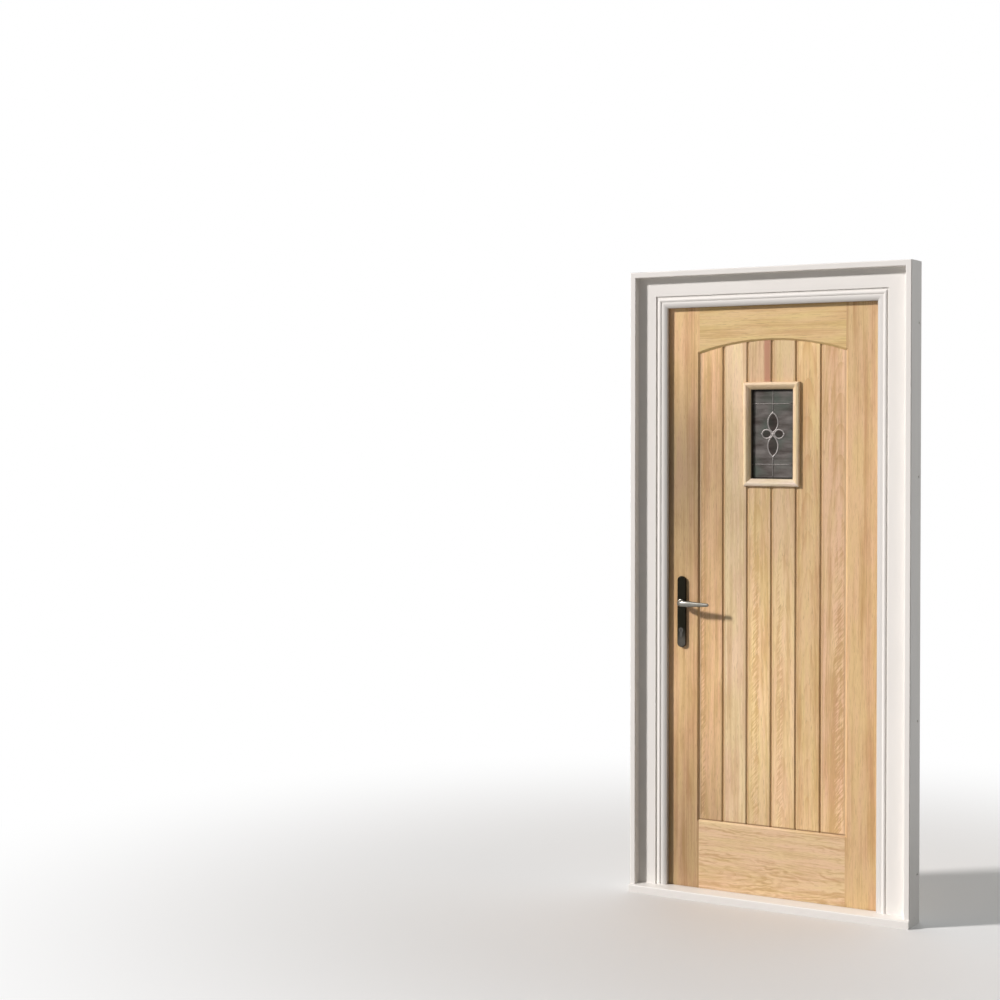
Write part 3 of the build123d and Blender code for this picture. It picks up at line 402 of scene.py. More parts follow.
def brushed_paint(name, along, seed, opening):
    """Satin paint laid on with a brush: nearly even colour, with fine marks that run along the timber.

    The paint is greyed over the last 20 mm before the edge of the opening as painted shade where
    the frame meets the leaf. That edge lies the given distance in mm from the middle of the door,
    or above its foot.
    """
    settings = bpy.context.scene.door_paint
    made, tree, shader = new_material(name, {"Roughness": settings.roughness, "IOR": 1.48})
    space, metres = grain_space(tree, along, seed)
    away = add(tree, "Math.ABSOLUTE", metres.outputs["X" if along == "Z" else "Z"])
    # painted shade: the paint greys towards the edge of the opening
    edge_shade = add(tree, "MapRange", away, opening * MM, (opening + 20) * MM, 0.55, 0.0)
    cloud = add(tree, "Math.MULTIPLY_ADD", streaks(tree, space, 60, 260), 1.2, -0.35)
    clean, dull, grey = (rgba([part * c for c in settings.colour]) for part in (1.0, 0.93, 0.45))
    coat = add(tree, "Mix", {FAC: cloud, A: clean, B: dull}, data_type="RGBA")
    edge_shaded = add(tree, "Mix", {FAC: edge_shade, A: coat, B: grey}, data_type="RGBA")
    marks = streaks(tree, space, settings.stroke / MM, 90, 3.0)
    bump = add(tree, "Bump", {"Strength": 0.25, "Distance": 0.15 * MM, "Height": marks})
    plug(tree, shader, {"Base Color": edge_shaded, "Normal": bump})
    return made


def skinned_foam():
    """Flexible foam with a moulded skin: matt, dark and faintly pebbled."""
    made, tree, shader = new_material("skinned foam seal", {"Roughness": 0.8, "IOR": 1.5})
    space, _ = grain_space(tree, "Z", 3)
    pebble = streaks(tree, space, 1.2, 1.2)
    tone = add(tree, "Mix", {FAC: pebble, A: "1F1C1A", B: "3A3531"}, data_type="RGBA")
    bump = add(tree, "Bump", {"Strength": 0.4, "Distance": 0.2 * MM, "Height": pebble})
    plug(tree, shader, {"Base Color": tone, "Normal": bump})
    return made


def metal(name, base, worn, roughness, along, line, spread=60.0, bump_depth=0.04, sheen_at=None):
    """A metal with lines of the given width along one axis, from brushing, rolling or polishing.

    The lines, line by spread in mm and bump_depth in mm deep, vary its roughness and height a
    little, and clouds of tarnish vary its colour. The last height, in metres, is where it is painted
    paler: a painted reflection of the pale ground on a rounded lower end.
    """
    made, tree, shader = new_material(name, {"Metallic": 1.0})
    space, metres = grain_space(tree, along, 5)
    cloud = streaks(tree, space, 14, 22, 3.0)
    colour = add(tree, "Mix", {FAC: cloud, A: base, B: worn}, data_type="RGBA")
    if sheen_at:
        # painted reflection: the metal is painted paler about the given height
        away = add(tree, "Math.ABSOLUTE", add(tree, "Math.SUBTRACT", metres.outputs["Z"], sheen_at))
        sheen = add(tree, "MapRange", away, 0.0, 0.05, 0.8, 0.0, interpolation_type="SMOOTHSTEP")
        patchy_sheen = add(tree, "Math.MULTIPLY", sheen, cloud)
        colour = add(tree, "Mix", {FAC: patchy_sheen, A: colour, B: "7C766E"}, data_type="RGBA")
    lines = streaks(tree, space, line, spread)
    rough = add(tree, "Math.MULTIPLY_ADD", lines, 0.16, roughness - 0.08)
    bump = add(tree, "Bump", {"Strength": 0.3, "Distance": bump_depth * MM, "Height": lines})
    plug(tree, shader, {"Base Color": colour, "Roughness": rough, "Normal": bump})
    return made


def clear_glass():
    """Float glass: clear, polished flat, with a sharp reflection and faint smears."""
    made, tree, shader = new_material(
        "float glass", {"Transmission Weight": 1.0, "IOR": 1.45, "Base Color": "F2F6F4"}
    )
    space, _ = grain_space(tree, "Z", 9)
    smears = add(tree, "Math.MULTIPLY_ADD", streaks(tree, space, 40, 60, 3.0), 0.05, -0.005)
    plug(tree, shader, {"Roughness": smears})
    return made


def obscure_glass(name, dark, pale, green):
    """Rolled obscure glass in smoky tones, rippled by the roller that marked it.

    The ripples break up what lies behind, so it reads as an even dark ground, painted in for the dim
    house behind, with pale and greenish clouds painted in as reflections. Its reflection is kept
    faint, because a white studio would wash it out where the dark street in front of a real door does
    not.
    """
    made, tree, shader = new_material(
        name, {"Transmission Weight": 0.04, "IOR": 1.5, "Roughness": 0.35, "Specular IOR Level": 0.05}
    )
    space, metres = grain_space(tree, "X", 4)
    clouds = add(tree, "Math.MULTIPLY_ADD", streaks(tree, space, 20, 75, 3.0), 3.0, -1.0)
    ground = add(tree, "Mix", {FAC: clouds, A: dark, B: pale}, data_type="RGBA")
    patches = add(tree, "Math.MULTIPLY_ADD", streaks(tree, space, 60, 60, 1.0), 3.2, -1.35)
    tint = add(tree, "Mix", {FAC: patches, A: ground, B: green}, data_type="RGBA")
    # painted shade: a thin near-black line round the edge of the glass, where the moulds' shadow falls
    middle_x, _, middle_z = middle_of("outer_pane")
    low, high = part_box("lead_cames")
    inset = []
    for axis, at, span in (("X", middle_x, high.x - low.x), ("Z", middle_z, high.z - low.z)):
        off = add(tree, "Math.ABSOLUTE", add(tree, "Math.SUBTRACT", metres.outputs[axis], at))
        inset.append(add(tree, "Math.SUBTRACT", span / 2, off))
    edge = add(tree, "Math.MINIMUM", *inset)
    line = add(tree, "MapRange", edge, 2.0 * MM, 4.0 * MM, 0.9, 0.0)
    shaded_rim = add(tree, "Mix", {FAC: line, A: tint, B: "14110F"}, data_type="RGBA")
    ripple = streaks(tree, space, 5, 11, 1.0)
    bump = add(tree, "Bump", {"Strength": 0.5, "Distance": 0.8 * MM, "Height": ripple})
    plug(tree, shader, {"Base Color": shaded_rim, "Normal": bump})
    return made


def piece(name, grids, material, body, stands_for=(), crease=None):
    """One smooth mesh from grids of points.

    Each grid is an array of rows by columns by 3; its columns close on themselves, and each end
    row is closed by a fan to its own middle. Points are metres in the frame of the door. Edges
    that turn by more than crease degrees stay sharp.
    """
    points = []
    faces = []
    start = 0
    for grid in grids:
        ends = [np.repeat(grid[row].mean(axis=0)[None, None], grid.shape[1], axis=1) for row in (0, -1)]
        full = np.concatenate([ends[0], grid, ends[1]], axis=0)
        rows, columns = full.shape[:2]
        index = np.arange(rows * columns).reshape(rows, columns) + start
        index = np.concatenate([index, index[:, :1]], axis=1)
        corners = [index[:-1, :-1], index[:-1, 1:], index[1:, 1:], index[1:, :-1]]
        faces.append(np.stack(corners, axis=-1).reshape(-1, 4))
        points.append(full.reshape(-1, 3))
        start += rows * columns
    mesh = bpy.data.meshes.new(name)
    mesh.from_pydata(np.concatenate(points).tolist(), [], np.concatenate(faces).tolist())
    shell = bmesh.new()
    shell.from_mesh(mesh)
    # the two sides of each seam and the points of each fan's middle become one
    bmesh.ops.remove_doubles(shell, verts=shell.verts, dist=1e-6)
    bmesh.ops.dissolve_degenerate(shell, edges=shell.edges, dist=1e-7)
    bmesh.ops.recalc_face_normals(shell, faces=shell.faces)
    shell.to_mesh(mesh)
    shell.free()
    mesh.polygons.foreach_set("use_smooth", [True] * len(mesh.polygons))
    if crease:
        mesh.set_sharp_from_angle(angle=math.radians(crease))
    made = bpy.data.objects.new(name, mesh)
    bpy.context.scene.collection.objects.link(made)
    mesh.materials.append(material)
    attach(made, body)
    if stands_for:
        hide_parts(*stands_for)
    return made


def came_strip(centre, width, height, face_y):
    """A half-round came along a path on the glass.

    centre is n points (x, z); the section at each is p + w/2 cos(a) side, with height h sin(a) above
    the glass, for a from 0 to pi, and it closes flat on the glass.
    """
    ahead = np.gradient(centre, axis=0)
    ahead /= np.linalg.norm(ahead, axis=1, keepdims=True)
    side = np.stack([-ahead[:, 1], ahead[:, 0]], axis=1)
    angle = np.linspace(0, math.pi, 9)
    flat = centre[:, None] + width / 2 * np.cos(angle)[None, :, None] * side[:, None]
    raised = np.broadcast_to(face_y - height * np.sin(angle), flat.shape[:2])
    return np.stack([flat[..., 0], raised, flat[..., 1]], axis=-1)


def solder_dome(x, z, radius, height, face_y):
    """A low dome of solder: it stands h sqrt(1 - (r / R)^2) above the glass at r from its middle."""
    reach = np.linspace(1, 0.02, 7)
    turn = np.linspace(0, 2 * math.pi, 20, endpoint=False)
    r, a = np.meshgrid(reach, turn, indexing="ij")
    lift = face_y - height * np.sqrt(1 - r**2)
    return np.stack([x + radius * r * np.cos(a), lift, z + radius * r * np.sin(a)], axis=-1)


def turned(radii, levels, centre, axis):
    """A lathe form: at distance levels[i] along a level axis from centre, a circle of radii[i]."""
    axis = np.array(axis, float)
    first = np.array((0.0, 0.0, 1.0))
    second = np.cross(axis, first)
    turn = np.linspace(0, 2 * math.pi, 48, endpoint=False)
    ring = np.cos(turn)[:, None] * first + np.sin(turn)[:, None] * second
    out = np.array(radii)[:, None, None] * ring[None]
    return np.array(centre) + out + np.array(levels)[:, None, None] * axis


def bead_section(width, depth, lap, crown, drop, nose):
    """Outline of the splayed mould round the light, as (out from the glass, back from its crest).

    It rises straight from the glass to drop below its crest. From there to the crest at c it is
    seven tenths a straight splay and three tenths a quarter ellipse, u = c (1 - cos a) and
    v = d (1 - sin a). It falls on another, u = c + (w - c) sin a, v = n (1 - cos a), to its outer
    edge, and goes straight back to the boards.
    """
    a = np.linspace(0, math.pi / 2, 15)
    ellipse = np.stack([crown * (1 - np.cos(a)), drop * (1 - np.sin(a))], axis=1)
    part = np.linspace(0, 1, 15)
    splay = np.stack([crown * part, drop * (1 - part)], axis=1)
    inner = 0.7 * splay + 0.3 * ellipse
    outer = np.stack([crown + (width - crown) * np.sin(a), nose * (1 - np.cos(a))], axis=1)
    back = np.array([(width, lap), (crown, lap), (crown, depth), (0, depth)])
    return np.concatenate([inner, outer[1:], back])


def bead_grid(section, side, length, middle_z, front, upright, hand):
    """The mould carried along one side of the light and mitred at both ends.

    A point (u, v) of the section stands side + u from the middle of the light and v behind the
    front, and runs from -(length + u) to length + u, which cuts each end at 45 degrees.
    """
    run = np.array((-1.0, 1.0))[:, None] * (length + section[:, 0])[None]
    out = np.broadcast_to(hand * (side + section[:, 0]), run.shape)
    back = np.broadcast_to(front + section[:, 1], run.shape)
    if upright:
        return np.stack([out, back, middle_z + run], axis=-1)
    return np.stack([run, back, middle_z + out], axis=-1)


def screw_head(centre, axis, radius, proud=0.25 * MM, spin=0.0):
    """A countersunk head with a cross recess, sunk flush in its plate.

    Over the head, height = proud (1 - (r / R)^2) - depth * cross, where cross is 1 within the arms,
    min(|r cos a|, |r sin a|) under half an arm's width, and fades out towards their ends. Below
    its rim the head narrows to the shank. Sizes within the head are parts of its radius.
    """
    arm_half, arm_edge, arm_long, arm_fade, arm_deep = 0.13, 0.05, 0.62, 0.08, 0.32
    rim_deep, shank_deep, shank = 0.15, 0.5, 0.6
    r = np.concatenate([np.linspace(0.04, 1.0, 18), [0.98, shank]])
    turn = np.linspace(0, 2 * math.pi, 48, endpoint=False)
    rr, aa = np.meshgrid(r, turn, indexing="ij")
    nearest = np.minimum(np.abs(rr * np.cos(aa)), np.abs(rr * np.sin(aa)))
    across = np.clip((arm_half - nearest) / arm_edge + 0.5, 0, 1)
    arm = across * np.clip((arm_long - rr) / arm_fade + 0.5, 0, 1)
    height = proud * (1 - rr**2) - arm_deep * radius * arm * (1 - 0.5 * rr)
    height[-2] = -rim_deep * radius
    height[-1] = -shank_deep * radius
    axis = np.array(axis, float)
    first = np.array((0.0, 0.0, 1.0))
    second = np.cross(axis, first)
    turned_first = math.cos(spin) * first + math.sin(spin) * second
    turned_second = math.cos(spin) * second - math.sin(spin) * first
    flat = np.cos(aa)[..., None] * turned_first + np.sin(aa)[..., None] * turned_second
    return np.array(centre) + radius * rr[..., None] * flat + height[..., None] * axis


def lever_grid(settings, lock_x, lock_z, plate_y, front_y, tip_x, out):
    """The lever as a section carried along a path.

    The path leaves the plate straight, turns along the door on a cubic curve, and then runs level:
    its outer face stays on front_y while it thins. The section at each point is a rounded oval,
    c(a) = b sgn(cos a)|cos a|^(2/n) across and h sgn(sin a)|sin a|^(2/n) up, with n = 2.3. Its two
    half sizes run evenly from root to tip, and fall as sqrt(1 - t^2) over the rounded end.
    out is -1 outside and +1 inside, the way that the lever stands off the door.
    """
    root_t = settings.grip_thick / 2
    tip_t = settings.tip_thick / 2
    end_long = 5 * MM
    grip_y = front_y - out * root_t
    a = np.array((lock_x, plate_y - out * MM))
    d = np.array((lock_x + settings.sweep, grip_y))
    b = np.array((lock_x, plate_y + 0.8 * (grip_y - plate_y)))
    c = np.array((lock_x + 0.25 * settings.sweep, grip_y))
    t = np.linspace(0, 1, 44)[:, None]
    bend = (1 - t) ** 3 * a + 3 * (1 - t) ** 2 * t * b + 3 * (1 - t) * t**2 * c + t**3 * d
    run = np.linspace(0, 1, 61)[1:] ** 0.8
    thick_run = root_t + (tip_t - root_t) * run
    x_run = d[0] + (tip_x - d[0]) * run
    level = np.stack([x_run, front_y - out * thick_run], axis=1)
    path = np.concatenate([bend, level])
    t = t[:, 0]
    ease = t * t * (3 - 2 * t)
    thick = np.concatenate([settings.neck + (root_t - settings.neck) * ease, thick_run])
    root_h = settings.grip_high / 2
    tip_h = settings.tip_high / 2
    # the grip reaches its full height before its full thickness
    high_bend = settings.neck + (root_h - settings.neck) * np.clip(ease * 1.25, 0, 1)
    high = np.concatenate([high_bend, root_h + (tip_h - root_h) * run**0.75])
    end = np.clip((path[:, 0] - tip_x + end_long) / end_long, 0, 0.9995)
    close = np.sqrt(1 - end**2)
    ahead = np.gradient(path, axis=0)
    ahead /= np.linalg.norm(ahead, axis=1, keepdims=True)
    side = np.stack([-ahead[:, 1], ahead[:, 0]], axis=1)
    turn = np.linspace(0, 2 * math.pi, 56, endpoint=False)
    power = 2 / 2.3  # between an ellipse, at 2 / 2, and a rectangle
    cosine = np.sign(np.cos(turn)) * np.abs(np.cos(turn)) ** power
    sine = np.sign(np.sin(turn)) * np.abs(np.sin(turn)) ** power
    plan = path[:, None] + (thick * close)[:, None, None] * cosine[None, :, None] * side[:, None]
    up = lock_z + (high * close)[:, None] * sine[None]
    return np.stack([plan[..., 0], plan[..., 1], up], axis=-1)


class DOOR_OT_paint_frame(Operator):
    """Paint the frame, its cover moulds and the sill"""

    bl_idname = "door.paint_frame"
    bl_label = "Paint frame"

    def execute(self, context):
        opening_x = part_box("jamb_hinge_side")[0].x / MM
        opening_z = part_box("head_jamb")[0].z / MM
        upright = brushed_paint("brushed white paint, upright", "Z", 1, opening_x)
        level = brushed_paint("brushed white paint, level", "X", 2, opening_z)
        dress(upright, "jamb_lock_side", "jamb_hinge_side", "cover_mould_left", "cover_mould_right")
        dress(level, "head_jamb", "cover_mould_head")
        # the sill has no such edge, so its painted shade is laid out of reach
        dress(brushed_paint("brushed white paint, sill", "X", 3, -900), "sill")
        dress(skinned_foam(), "seal_left", "seal_right", "seal_head", "seal_sill")
        return {"FINISHED"}


class DOOR_OT_oil_leaf(Operator):
    """Give each timber of the leaf its own piece of oiled oak"""

    bl_idname = "door.oil_leaf"
    bl_label = "Oil leaf"

    def execute(self, context):
        # node, pale, dark, heart (mm across, mm through, sinking per mm of length), colour factors at
        # four heights
        stiles = [
            ("lock_stile", "EDC999", "CEA472", (-240, 90, 0.0), (0.62, 0.96, 0.49, 1.0)),
            ("hinge_stile", "E4C395", "CBA272", (470, 120, 0.0), (0.94, 1.0, 0.99, 0.92)),
        ]
        rails = [
            ("top_rail", "E2C791", "CFAD76", (2040, 160, 0.0), None),
            ("bottom_rail", "E5C9A3", "CBA87D", (90, 60, 0.09), None),
        ]
        boards = [
            ("board_1", "FBD4A5", "DAB17C", (-260, 60, 0.0), (0.62, 0.93, 0.64, 1.0)),
            ("board_2", "FBE2BB", "E2C299", (-60, 190, 0.0), (0.91, 0.93, 0.71, 1.0)),
            ("board_3_lower", "FFE1B0", "E3BE86", (-50, 70, 0.03), (0.76, 1.0, 0.71, 0.71)),
            ("board_3_upper", "E1C59C", "C69F7A", (-20, 90, 0.0), None),
            ("board_4_lower", "F7D9AD", "DDB889", (40, 60, 0.03), (1.0, 1.0, 0.72, 0.72)),
            ("board_4_upper", "E3C99F", "CEAD80", (150, 110, 0.0), None),
            ("board_5", "F5D6A2", "DAB07B", (128, 50, 0.04), (0.94, 0.86, 0.79, 1.0)),
            ("board_6", "F9D5AD", "D8AF7E", (240, 30, 0.05), (1.0, 0.87, 0.8, 0.91)),
        ]
        extras = {
            "top_rail": {"crown": 0.5},
            "bottom_rail": {"crown": 1.4},
            "board_1": {"fleck": (-248, 14)},
            "board_3_lower": {"fleck": (-58, 18)},
            "board_3_upper": {"blush": (-15, 18)},
            "board_4_lower": {"fleck": (30, 14)},
            "board_6": {"fleck": (236, 24)},
        }
        groups = ((stiles, "Z", 0, False), (rails, "X", 10, False), (boards, "Z", 20, True))
        for timbers, along, first_seed, joints in groups:
            for seed, (name, pale, dark, heart, height_tone) in enumerate(timbers, first_seed):
                wood = oak(
                    f"oiled oak, {name}", pale, dark, along, seed, heart,
                    height_tone=height_tone, joints=joints, **extras.get(name, {}),
                )
                dress(wood, name)
        return {"FINISHED"}


class DOOR_OT_fit_beads(Operator):
    """Fit the rounded moulds that hold the glass"""

    bl_idname = "door.fit_beads"
    bl_label = "Fit beads"

    def execute(self, context):
        settings = context.scene.door_glazing
        upright = oak("oiled oak, upright beads", "F3E2C4", "E1C6A0", "Z", 40, (300, 90, 0.0), glass_shaded=True)
        level = oak("oiled oak, level beads", "F1DCBB", "DCBF94", "X", 41, (1400, 90, 0.0), glass_shaded=True)
        # the bottom bead, which faces up to the lamp, gets a paler copy of the oak: painted light
        paler_bottom_bead = oak("oiled oak, bottom bead", "F0E7DA", "DECCB3", "X", 42, (1400, 90, 0.0), glass_shaded=True)
        dress(upright, "inner_bead_left", "inner_bead_right")
        dress(level, "inner_bead_top", "inner_bead_bottom")
        low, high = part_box("outer_bead_right")
        middle_z = middle_of("outer_bead_right")[2]
        side = low.x
        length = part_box("outer_bead_top")[0].z - middle_z
        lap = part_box("board_2")[0].y - low.y
        shape = (settings.mould_crown, settings.mould_drop, settings.mould_nose)
        section = bead_section(high.x - low.x, high.y - low.y, lap, *shape)
        sides = (
            ("right", True, 1, upright),
            ("left", True, -1, upright),
            ("top", False, 1, level),
            ("bottom", False, -1, paler_bottom_bead),
        )
        for name, is_upright, hand, wood in sides:
            near, far = (side, length) if is_upright else (length, side)
            grid = bead_grid(section, near, far, middle_z, low.y, is_upright, hand)
            stands_for = [f"outer_bead_{name}"]
            piece(f"{name}_light_mould", [grid], wood, "leaf", stands_for, crease=40)
        return {"FINISHED"}


class DOOR_OT_glaze_light(Operator):
    """Glaze the light and lay its cames"""

    bl_idname = "door.glaze_light"
    bl_label = "Glaze light"

    def execute(self, context):
        settings = context.scene.door_glazing
        dress(obscure_glass("smoky rolled glass", "4F4844", "7C7773", "5A6159"), "outer_pane")
        dress(clear_glass(), "inner_pane")
        dress(metal("mill aluminium", "A9ABAC", "8E9091", 0.42, "Z", 0.6), "spacer")
        tin = metal("tinned lead", "9C9693", "5B5754", 0.5, "Z", 1.0, spread=6.0, bump_depth=0.1)
        face_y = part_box("outer_pane")[0].y
        lift = np.array((0.0, middle_of("outer_pane")[2]))
        low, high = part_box("lead_cames")
        half_w = (high.x - low.x) / 2
        half_h = (high.z - low.z) / 2
        petals = [
            (settings.petal_up, settings.petal_wide, 90),
            (settings.petal_down, settings.petal_wide, 270),
            (settings.petal_side, settings.side_wide, 0),
            (settings.petal_side, settings.side_wide, 180),
        ]
        strips = []
        facets = []
        domes = [(0.0, 0.0)]
        for length, width, angle in petals:
            away = np.array((math.cos(math.radians(angle)), math.sin(math.radians(angle))))
            aside = np.array((-away[1], away[0]))
            # each side of a petal is an arc of radius (L^2 + W^2) / 4W through its two tips
            radius = (length**2 + width**2) / (4 * width)
            half_angle = math.asin(length / 2 / radius)
            sweep = np.linspace(-half_angle, half_angle, 28)
            bulge = radius * (np.cos(sweep) - math.cos(half_angle))
            reach = settings.petal_gap + length / 2 + radius * np.sin(sweep)
            for hand in (1, -1):
                strips.append(reach[:, None] * away + hand * bulge[:, None] * aside)
            facets.append((reach[1:-1, None] * away, 2 * bulge[1:-1, None, None]))
            for tip in (settings.petal_gap, settings.petal_gap + length):
                domes.append(tuple(tip * away))
        band_z = half_h - settings.band_inset
        top_tip = settings.petal_gap + settings.petal_up
        low_tip = settings.petal_gap + settings.petal_down
        lines = (
            ((0, top_tip), (0, half_h)),
            ((0, -low_tip), (0, -half_h)),
            ((-half_w, band_z), (half_w, band_z)),
            ((-half_w, -band_z), (half_w, -band_z)),
            ((-settings.petal_gap, 0), (settings.petal_gap, 0)),
            ((0, -settings.petal_gap), (0, settings.petal_gap)),
        )
        stems = [np.linspace(start, stop, 8) for start, stop in lines]
        grids = [came_strip(strip + lift, settings.came, settings.came_high, face_y) for strip in strips]
        drop_r, drop_high = 0.75 * settings.came, 1.15 * settings.came_high
        grids += [solder_dome(x, z + lift[1], drop_r, drop_high, face_y) for x, z in domes]
        piece("half_round_cames", grids, tin, "leaf", ["lead_cames"])
        dull = metal("weathered lead", "8B8682", "585451", 0.5, "Z", 1.0, spread=6.0, bump_depth=0.1)
        grids = [came_strip(stem + lift, settings.stem, settings.came_high, face_y) for stem in stems]
        piece("stem_cames", grids, dull, "leaf")
        # a darker facet fills each petal, domed a little and as wide as the gap between its cames
        grids = [came_strip(line + lift, wide, settings.facet_high, face_y) for line, wide in facets]
        smoked = obscure_glass("smoked glass, petals", "35302C", "564D49", "3E413B")
        piece("petal_facets", grids, smoked, "leaf")
        return {"FINISHED"}


class DOOR_OT_fit_handles(Operator):
    """Fit the levers, their back plates and the cylinder"""

    bl_idname = "door.fit_handles"
    bl_label = "Fit handles"

    def execute(self, context):
        settings = context.scene.door_handle
        # the back plate's painted reflection sits 18 mm above its lower end
        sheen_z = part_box("outer_backplate")[0].z + 18 * MM
        plate = metal("polished black nickel", "2B2A22", "1E1B15", 0.2, "Z", 0.8, 40.0, 0.02, sheen_z)
        nickel = metal("satin nickel", "959289", "74716A", 0.3, "X", 0.7, 30.0, 0.02)
        brass = metal("nickel plated brass", "66635F", "4D4A46", 0.24, "Y", 0.5, 20.0, 0.02)
        steel = metal("bright drawn steel", "A7A7A6", "8F8F8E", 0.34, "Y", 0.5, 30.0)
        dress(plate, "outer_backplate", "inner_backplate")
        dress(brass, "cylinder_body", "cylinder_plug")
        dress(steel, "spindle", "follower")
        lock_x, _, lock_z = middle_of("spindle")
        # the collar is a low turned ring: 12.5 mm radius, 5 mm high, with a rounded shoulder
        radii = np.array((9.0, 12.5, 12.5, 12.1, 11.2, 9.6, 8.0)) * MM
        levels = np.array((0.4, 0.4, 3.5, 4.3, 4.8, 5.0, 5.0)) * MM
        faces = {
            "outer": (-1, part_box("outer_backplate")[0].y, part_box("outer_lever")[0].y),
            "inner": (1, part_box("inner_backplate")[1].y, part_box("inner_lever")[1].y),
        }
        for face, (out, plate_y, front_y) in faces.items():
            tip_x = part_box(f"{face}_lever")[1].x
            grip = lever_grid(settings, lock_x, lock_z, plate_y, front_y, tip_x, out)
            collar = turned(radii, levels, (lock_x, plate_y, lock_z), (0, out, 0))
            stands_for = [f"{face}_lever"]
            piece(f"{face}_swept_lever", [grip, collar], nickel, "lever_set", stands_for)
        return {"FINISHED"}


class DOOR_OT_fit_ironmongery(Operator):
    """Finish the hinges, lock and strike plate, and drive their screws"""

    bl_idname = "door.fit_ironmongery"
    bl_label = "Fit ironmongery"

    def execute(self, context):
        steel = metal("satin stainless steel", "B2B1AF", "9A9998", 0.33, "Z", 0.6, 50.0)
        zinc = metal("zinc plated steel", "9C9FA3", "84868A", 0.38, "Z", 1.0, 12.0)
        screws = metal("dull zinc screws", "85868A", "6D6F73", 0.36, "Z", 0.6, 3.0)
        for level in HINGES:
            dress(steel, f"hinge_{level}_frame_flap", f"hinge_{level}_leaf_flap", f"hinge_{level}_pin")
        dress(steel, "forend", "strike_plate", "latch_bolt", "dead_bolt")
        dress(zinc, "lock_case", "cylinder_screw")
        heads = {"frame": [], "leaf": []}
        sink = 0.3 * MM
        flap_w, row, far, near = 32 * MM, 11 * MM, 38 * MM, 14 * MM
        spots = [(row / 2, far), (-row / 2, near), (row / 2, -near), (-row / 2, -far)]
        # the flaps lie in the face of the jamb and in the edge of the leaf, 3 mm apart
        flaps = (("frame", -1, 384 * MM), ("leaf", 1, 381 * MM))
        for turn, level in enumerate(HINGES):
            for body, side, face_x in flaps:
                flap = f"hinge_{level}_{body}_flap"
                mid_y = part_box(flap)[0].y + flap_w / 2
                mid_z = middle_of(flap)[2]
                for k, (dy, dz) in enumerate(spots):
                    centre = (face_x - side * sink, mid_y + dy, mid_z + dz)
                    heads[body].append(screw_head(centre, (side, 0, 0), 4.2 * MM, spin=0.7 * k + turn))
        strike, forend, back = (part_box(name) for name in ("strike_plate", "forend", "inner_backplate"))
        strike_at = (strike[1].x - sink, middle_of("strike_plate")[1])
        forend_at = (forend[0].x, strike_at[1])
        back_at = (middle_of("inner_backplate")[0], back[1].y)
        # body, plate, its screws' place, their way out, their inset, radius and height in mm, their turns
        plates = (
            ("frame", strike, strike_at, (1, 0, 0), (17, 3.7, 0.25), (0.0, 1.0)),
            ("leaf", forend, forend_at, (-1, 0, 0), (9, 3.9, 0.25), (0.4, 1.7)),
            ("leaf", back, back_at, (0, 1, 0), (14, 3.9, 1.1), (0.2, 1.1)),
        )
        for body, (low, high), place, way, (inset, radius, proud), spins in plates:
            for z, spin in zip((low.z + inset * MM, high.z - inset * MM), spins):
                heads[body].append(screw_head((*place, z), way, radius * MM, proud * MM, spin))
        for body, grids in heads.items():
            piece(f"{body}_screw_heads", grids, screws, body)
        return {"FINISHED"}


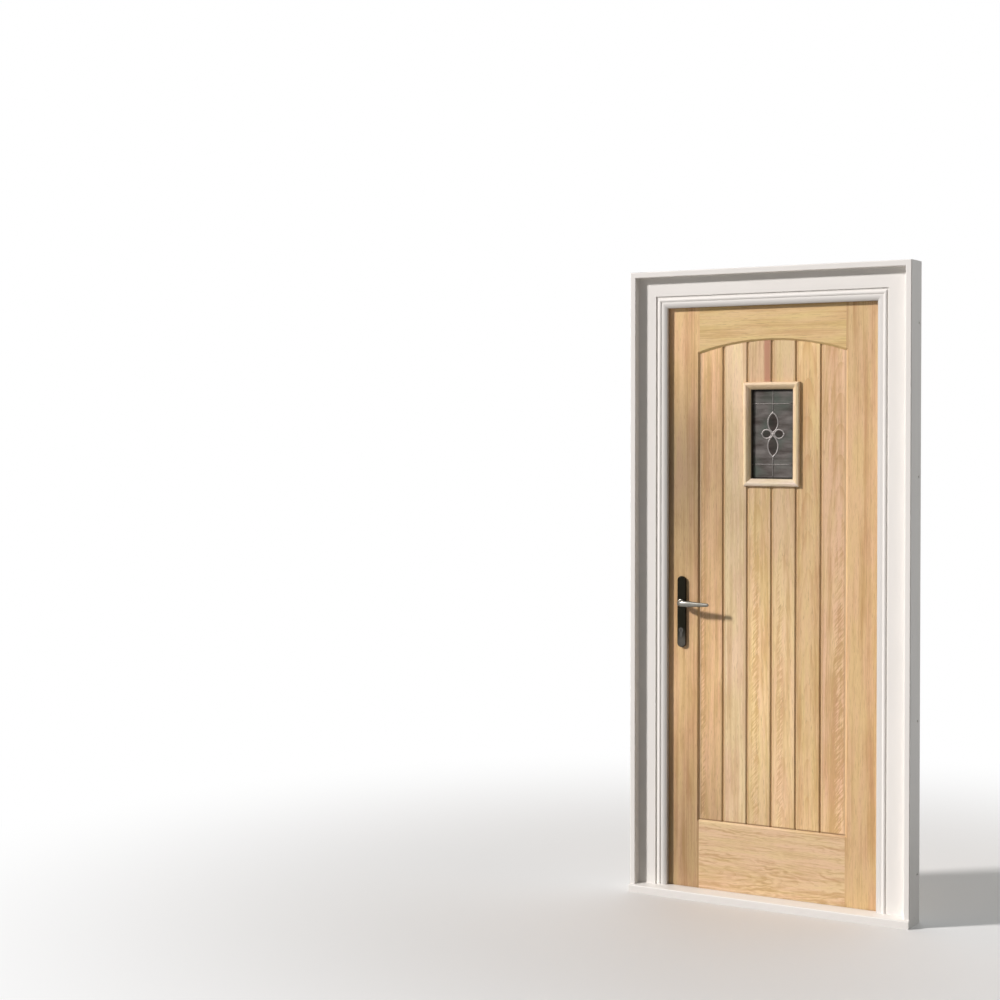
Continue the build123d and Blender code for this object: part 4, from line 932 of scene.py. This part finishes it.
class DOOR_OT_light_stage(Operator):
    """Lay the floor, hang the lamps and place the camera"""

    bl_idname = "door.light_stage"
    bl_label = "Light stage"

    def execute(self, context):
        settings = context.scene.door_stage
        scene = context.scene
        scene.view_settings.view_transform = "Standard"
        self.lay_floor()
        self.fill_world(scene, settings.fill)
        # parallel light, as broad as a disk of 1.3 m seen from 12 m, so no end of the frame is overlit
        away = 12.0
        lamp = bpy.data.lights.new("key_lamp", "SUN")
        lamp.angle = settings.key_width
        lamp.energy = settings.key_strength
        lamp.color = (1.0, 0.975, 0.98)
        hung = bpy.data.objects.new("key_lamp", lamp)
        towards = np.array((-1.12, -1.0, 0.81))
        towards /= np.linalg.norm(towards)
        hung.location = away * towards
        hung.rotation_mode = "QUATERNION"
        hung.rotation_quaternion = Vector(-towards).to_track_quat("-Z", "Y")
        scene.collection.objects.link(hung)
        lens = bpy.data.cameras.new("camera")
        lens.sensor_width = 36
        lens.lens = settings.lens
        lens.shift_y = -0.03
        # solved from the vanishing points of the photograph
        camera = bpy.data.objects.new("camera", lens)
        camera.location = (2.4740, -5.8769, 1.5585)
        camera.rotation_euler = (math.radians(90 - 1.007), 0, math.radians(30.868))
        scene.collection.objects.link(camera)
        scene.camera = camera
        return {"FINISHED"}

    def lay_floor(self):
        """A pale floor that turns to plain white far from the door, for what the camera sees."""
        mesh = bpy.data.meshes.new("studio_floor")
        reach = 40
        corners = [(-reach, -reach, 0), (reach, -reach, 0), (reach, reach, 0), (-reach, reach, 0)]
        mesh.from_pydata(corners, [], [(0, 1, 2, 3)])
        floor = bpy.data.objects.new("studio_floor", mesh)
        bpy.context.scene.collection.objects.link(floor)
        made, tree, shader = new_material("pale floor", {"Roughness": 0.7})
        seen = self.seen_rays(tree)
        # seen from the camera it is pale, but it throws no more light up at the door than stone does
        tone = add(tree, "Mix", {FAC: seen, A: "8B8885", B: "DEDCD9"}, data_type="RGBA")
        plug(tree, shader, {"Base Color": tone})
        away = add(tree, "VectorMath.LENGTH", add(tree, "TexCoord").outputs["Object"])
        fade = add(tree, "MapRange", away, 0.9, 3.2, interpolation_type="SMOOTHSTEP")
        white = add(tree, "Emission", {"Strength": 1.0})
        mixed = add(tree, "MixShader", add(tree, "Math.MULTIPLY", fade, seen), shader, white)
        plug(tree, tree.nodes["Material Output"], mixed)
        mesh.materials.append(made)

    def seen_rays(self, tree):
        """1 for camera, glossy and transmission rays, and 0 for the rays that light the object."""
        path = add(tree, "LightPath")
        bright = add(tree, "Math.MAXIMUM", path.outputs["Is Camera Ray"], path.outputs["Is Glossy Ray"])
        return add(tree, "Math.MAXIMUM", bright, path.outputs["Is Transmission Ray"])

    def fill_world(self, scene, strength):
        """Soft light from all sides, fuller behind the door where no lamp reaches, under plain white.

        The fill grows with the part of its direction that points into the house, so the inner
        side is lit by a broad soft source and the outer side keeps the shadows of the key lamp.
        """
        world = bpy.data.worlds.new("studio")
        scene.world = world
        world.use_nodes = True
        tree = world.node_tree
        fill = tree.nodes["Background"]
        way = add(tree, "SeparateXYZ", add(tree, "TexCoord").outputs["Generated"]).outputs["Y"]
        inwards = add(tree, "MapRange", way, 0.0, 0.7, strength, 1.15, interpolation_type="SMOOTHSTEP")
        plug(tree, fill, (0.95, 0.98, 1.0, 1.0), inwards)
        white = add(tree, "Background", (1, 1, 1, 1), 1.0)
        mixed = add(tree, "MixShader", self.seen_rays(tree), fill, white)
        plug(tree, tree.nodes["World Output"], mixed)


OPERATORS = [
    DOOR_OT_paint_frame,
    DOOR_OT_oil_leaf,
    DOOR_OT_fit_beads,
    DOOR_OT_glaze_light,
    DOOR_OT_fit_handles,
    DOOR_OT_fit_ironmongery,
    DOOR_OT_light_stage,
]


class DOOR_PT_steps(Panel):
    """The steps that dress the door, in order"""

    bl_label = "Front door"
    bl_idname = "DOOR_PT_steps"
    bl_space_type = "VIEW_3D"
    bl_region_type = "UI"
    bl_category = "Front door"

    def draw(self, context):
        for group, settings in SETTINGS.items():
            for name in settings.__annotations__:
                self.layout.prop(getattr(context.scene, group), name)
        for operator in OPERATORS:
            self.layout.operator(operator.bl_idname)


def register():
    for settings in SETTINGS.values():
        bpy.utils.register_class(settings)
    for group, settings in SETTINGS.items():
        setattr(bpy.types.Scene, group, PointerProperty(type=settings))
    for operator in OPERATORS:
        bpy.utils.register_class(operator)
    bpy.utils.register_class(DOOR_PT_steps)


def unregister():
    bpy.utils.unregister_class(DOOR_PT_steps)
    for operator in reversed(OPERATORS):
        bpy.utils.unregister_class(operator)
    for group in SETTINGS:
        delattr(bpy.types.Scene, group)
    for settings in SETTINGS.values():
        bpy.utils.unregister_class(settings)


def main():
    """Register the steps and run them in order."""
    register()
    bpy.ops.door.paint_frame()
    bpy.ops.door.oil_leaf()
    bpy.ops.door.fit_beads()
    bpy.ops.door.glaze_light()
    bpy.ops.door.fit_handles()
    bpy.ops.door.fit_ironmongery()
    bpy.ops.door.light_stage()


if __name__ == "__main__":
    main()
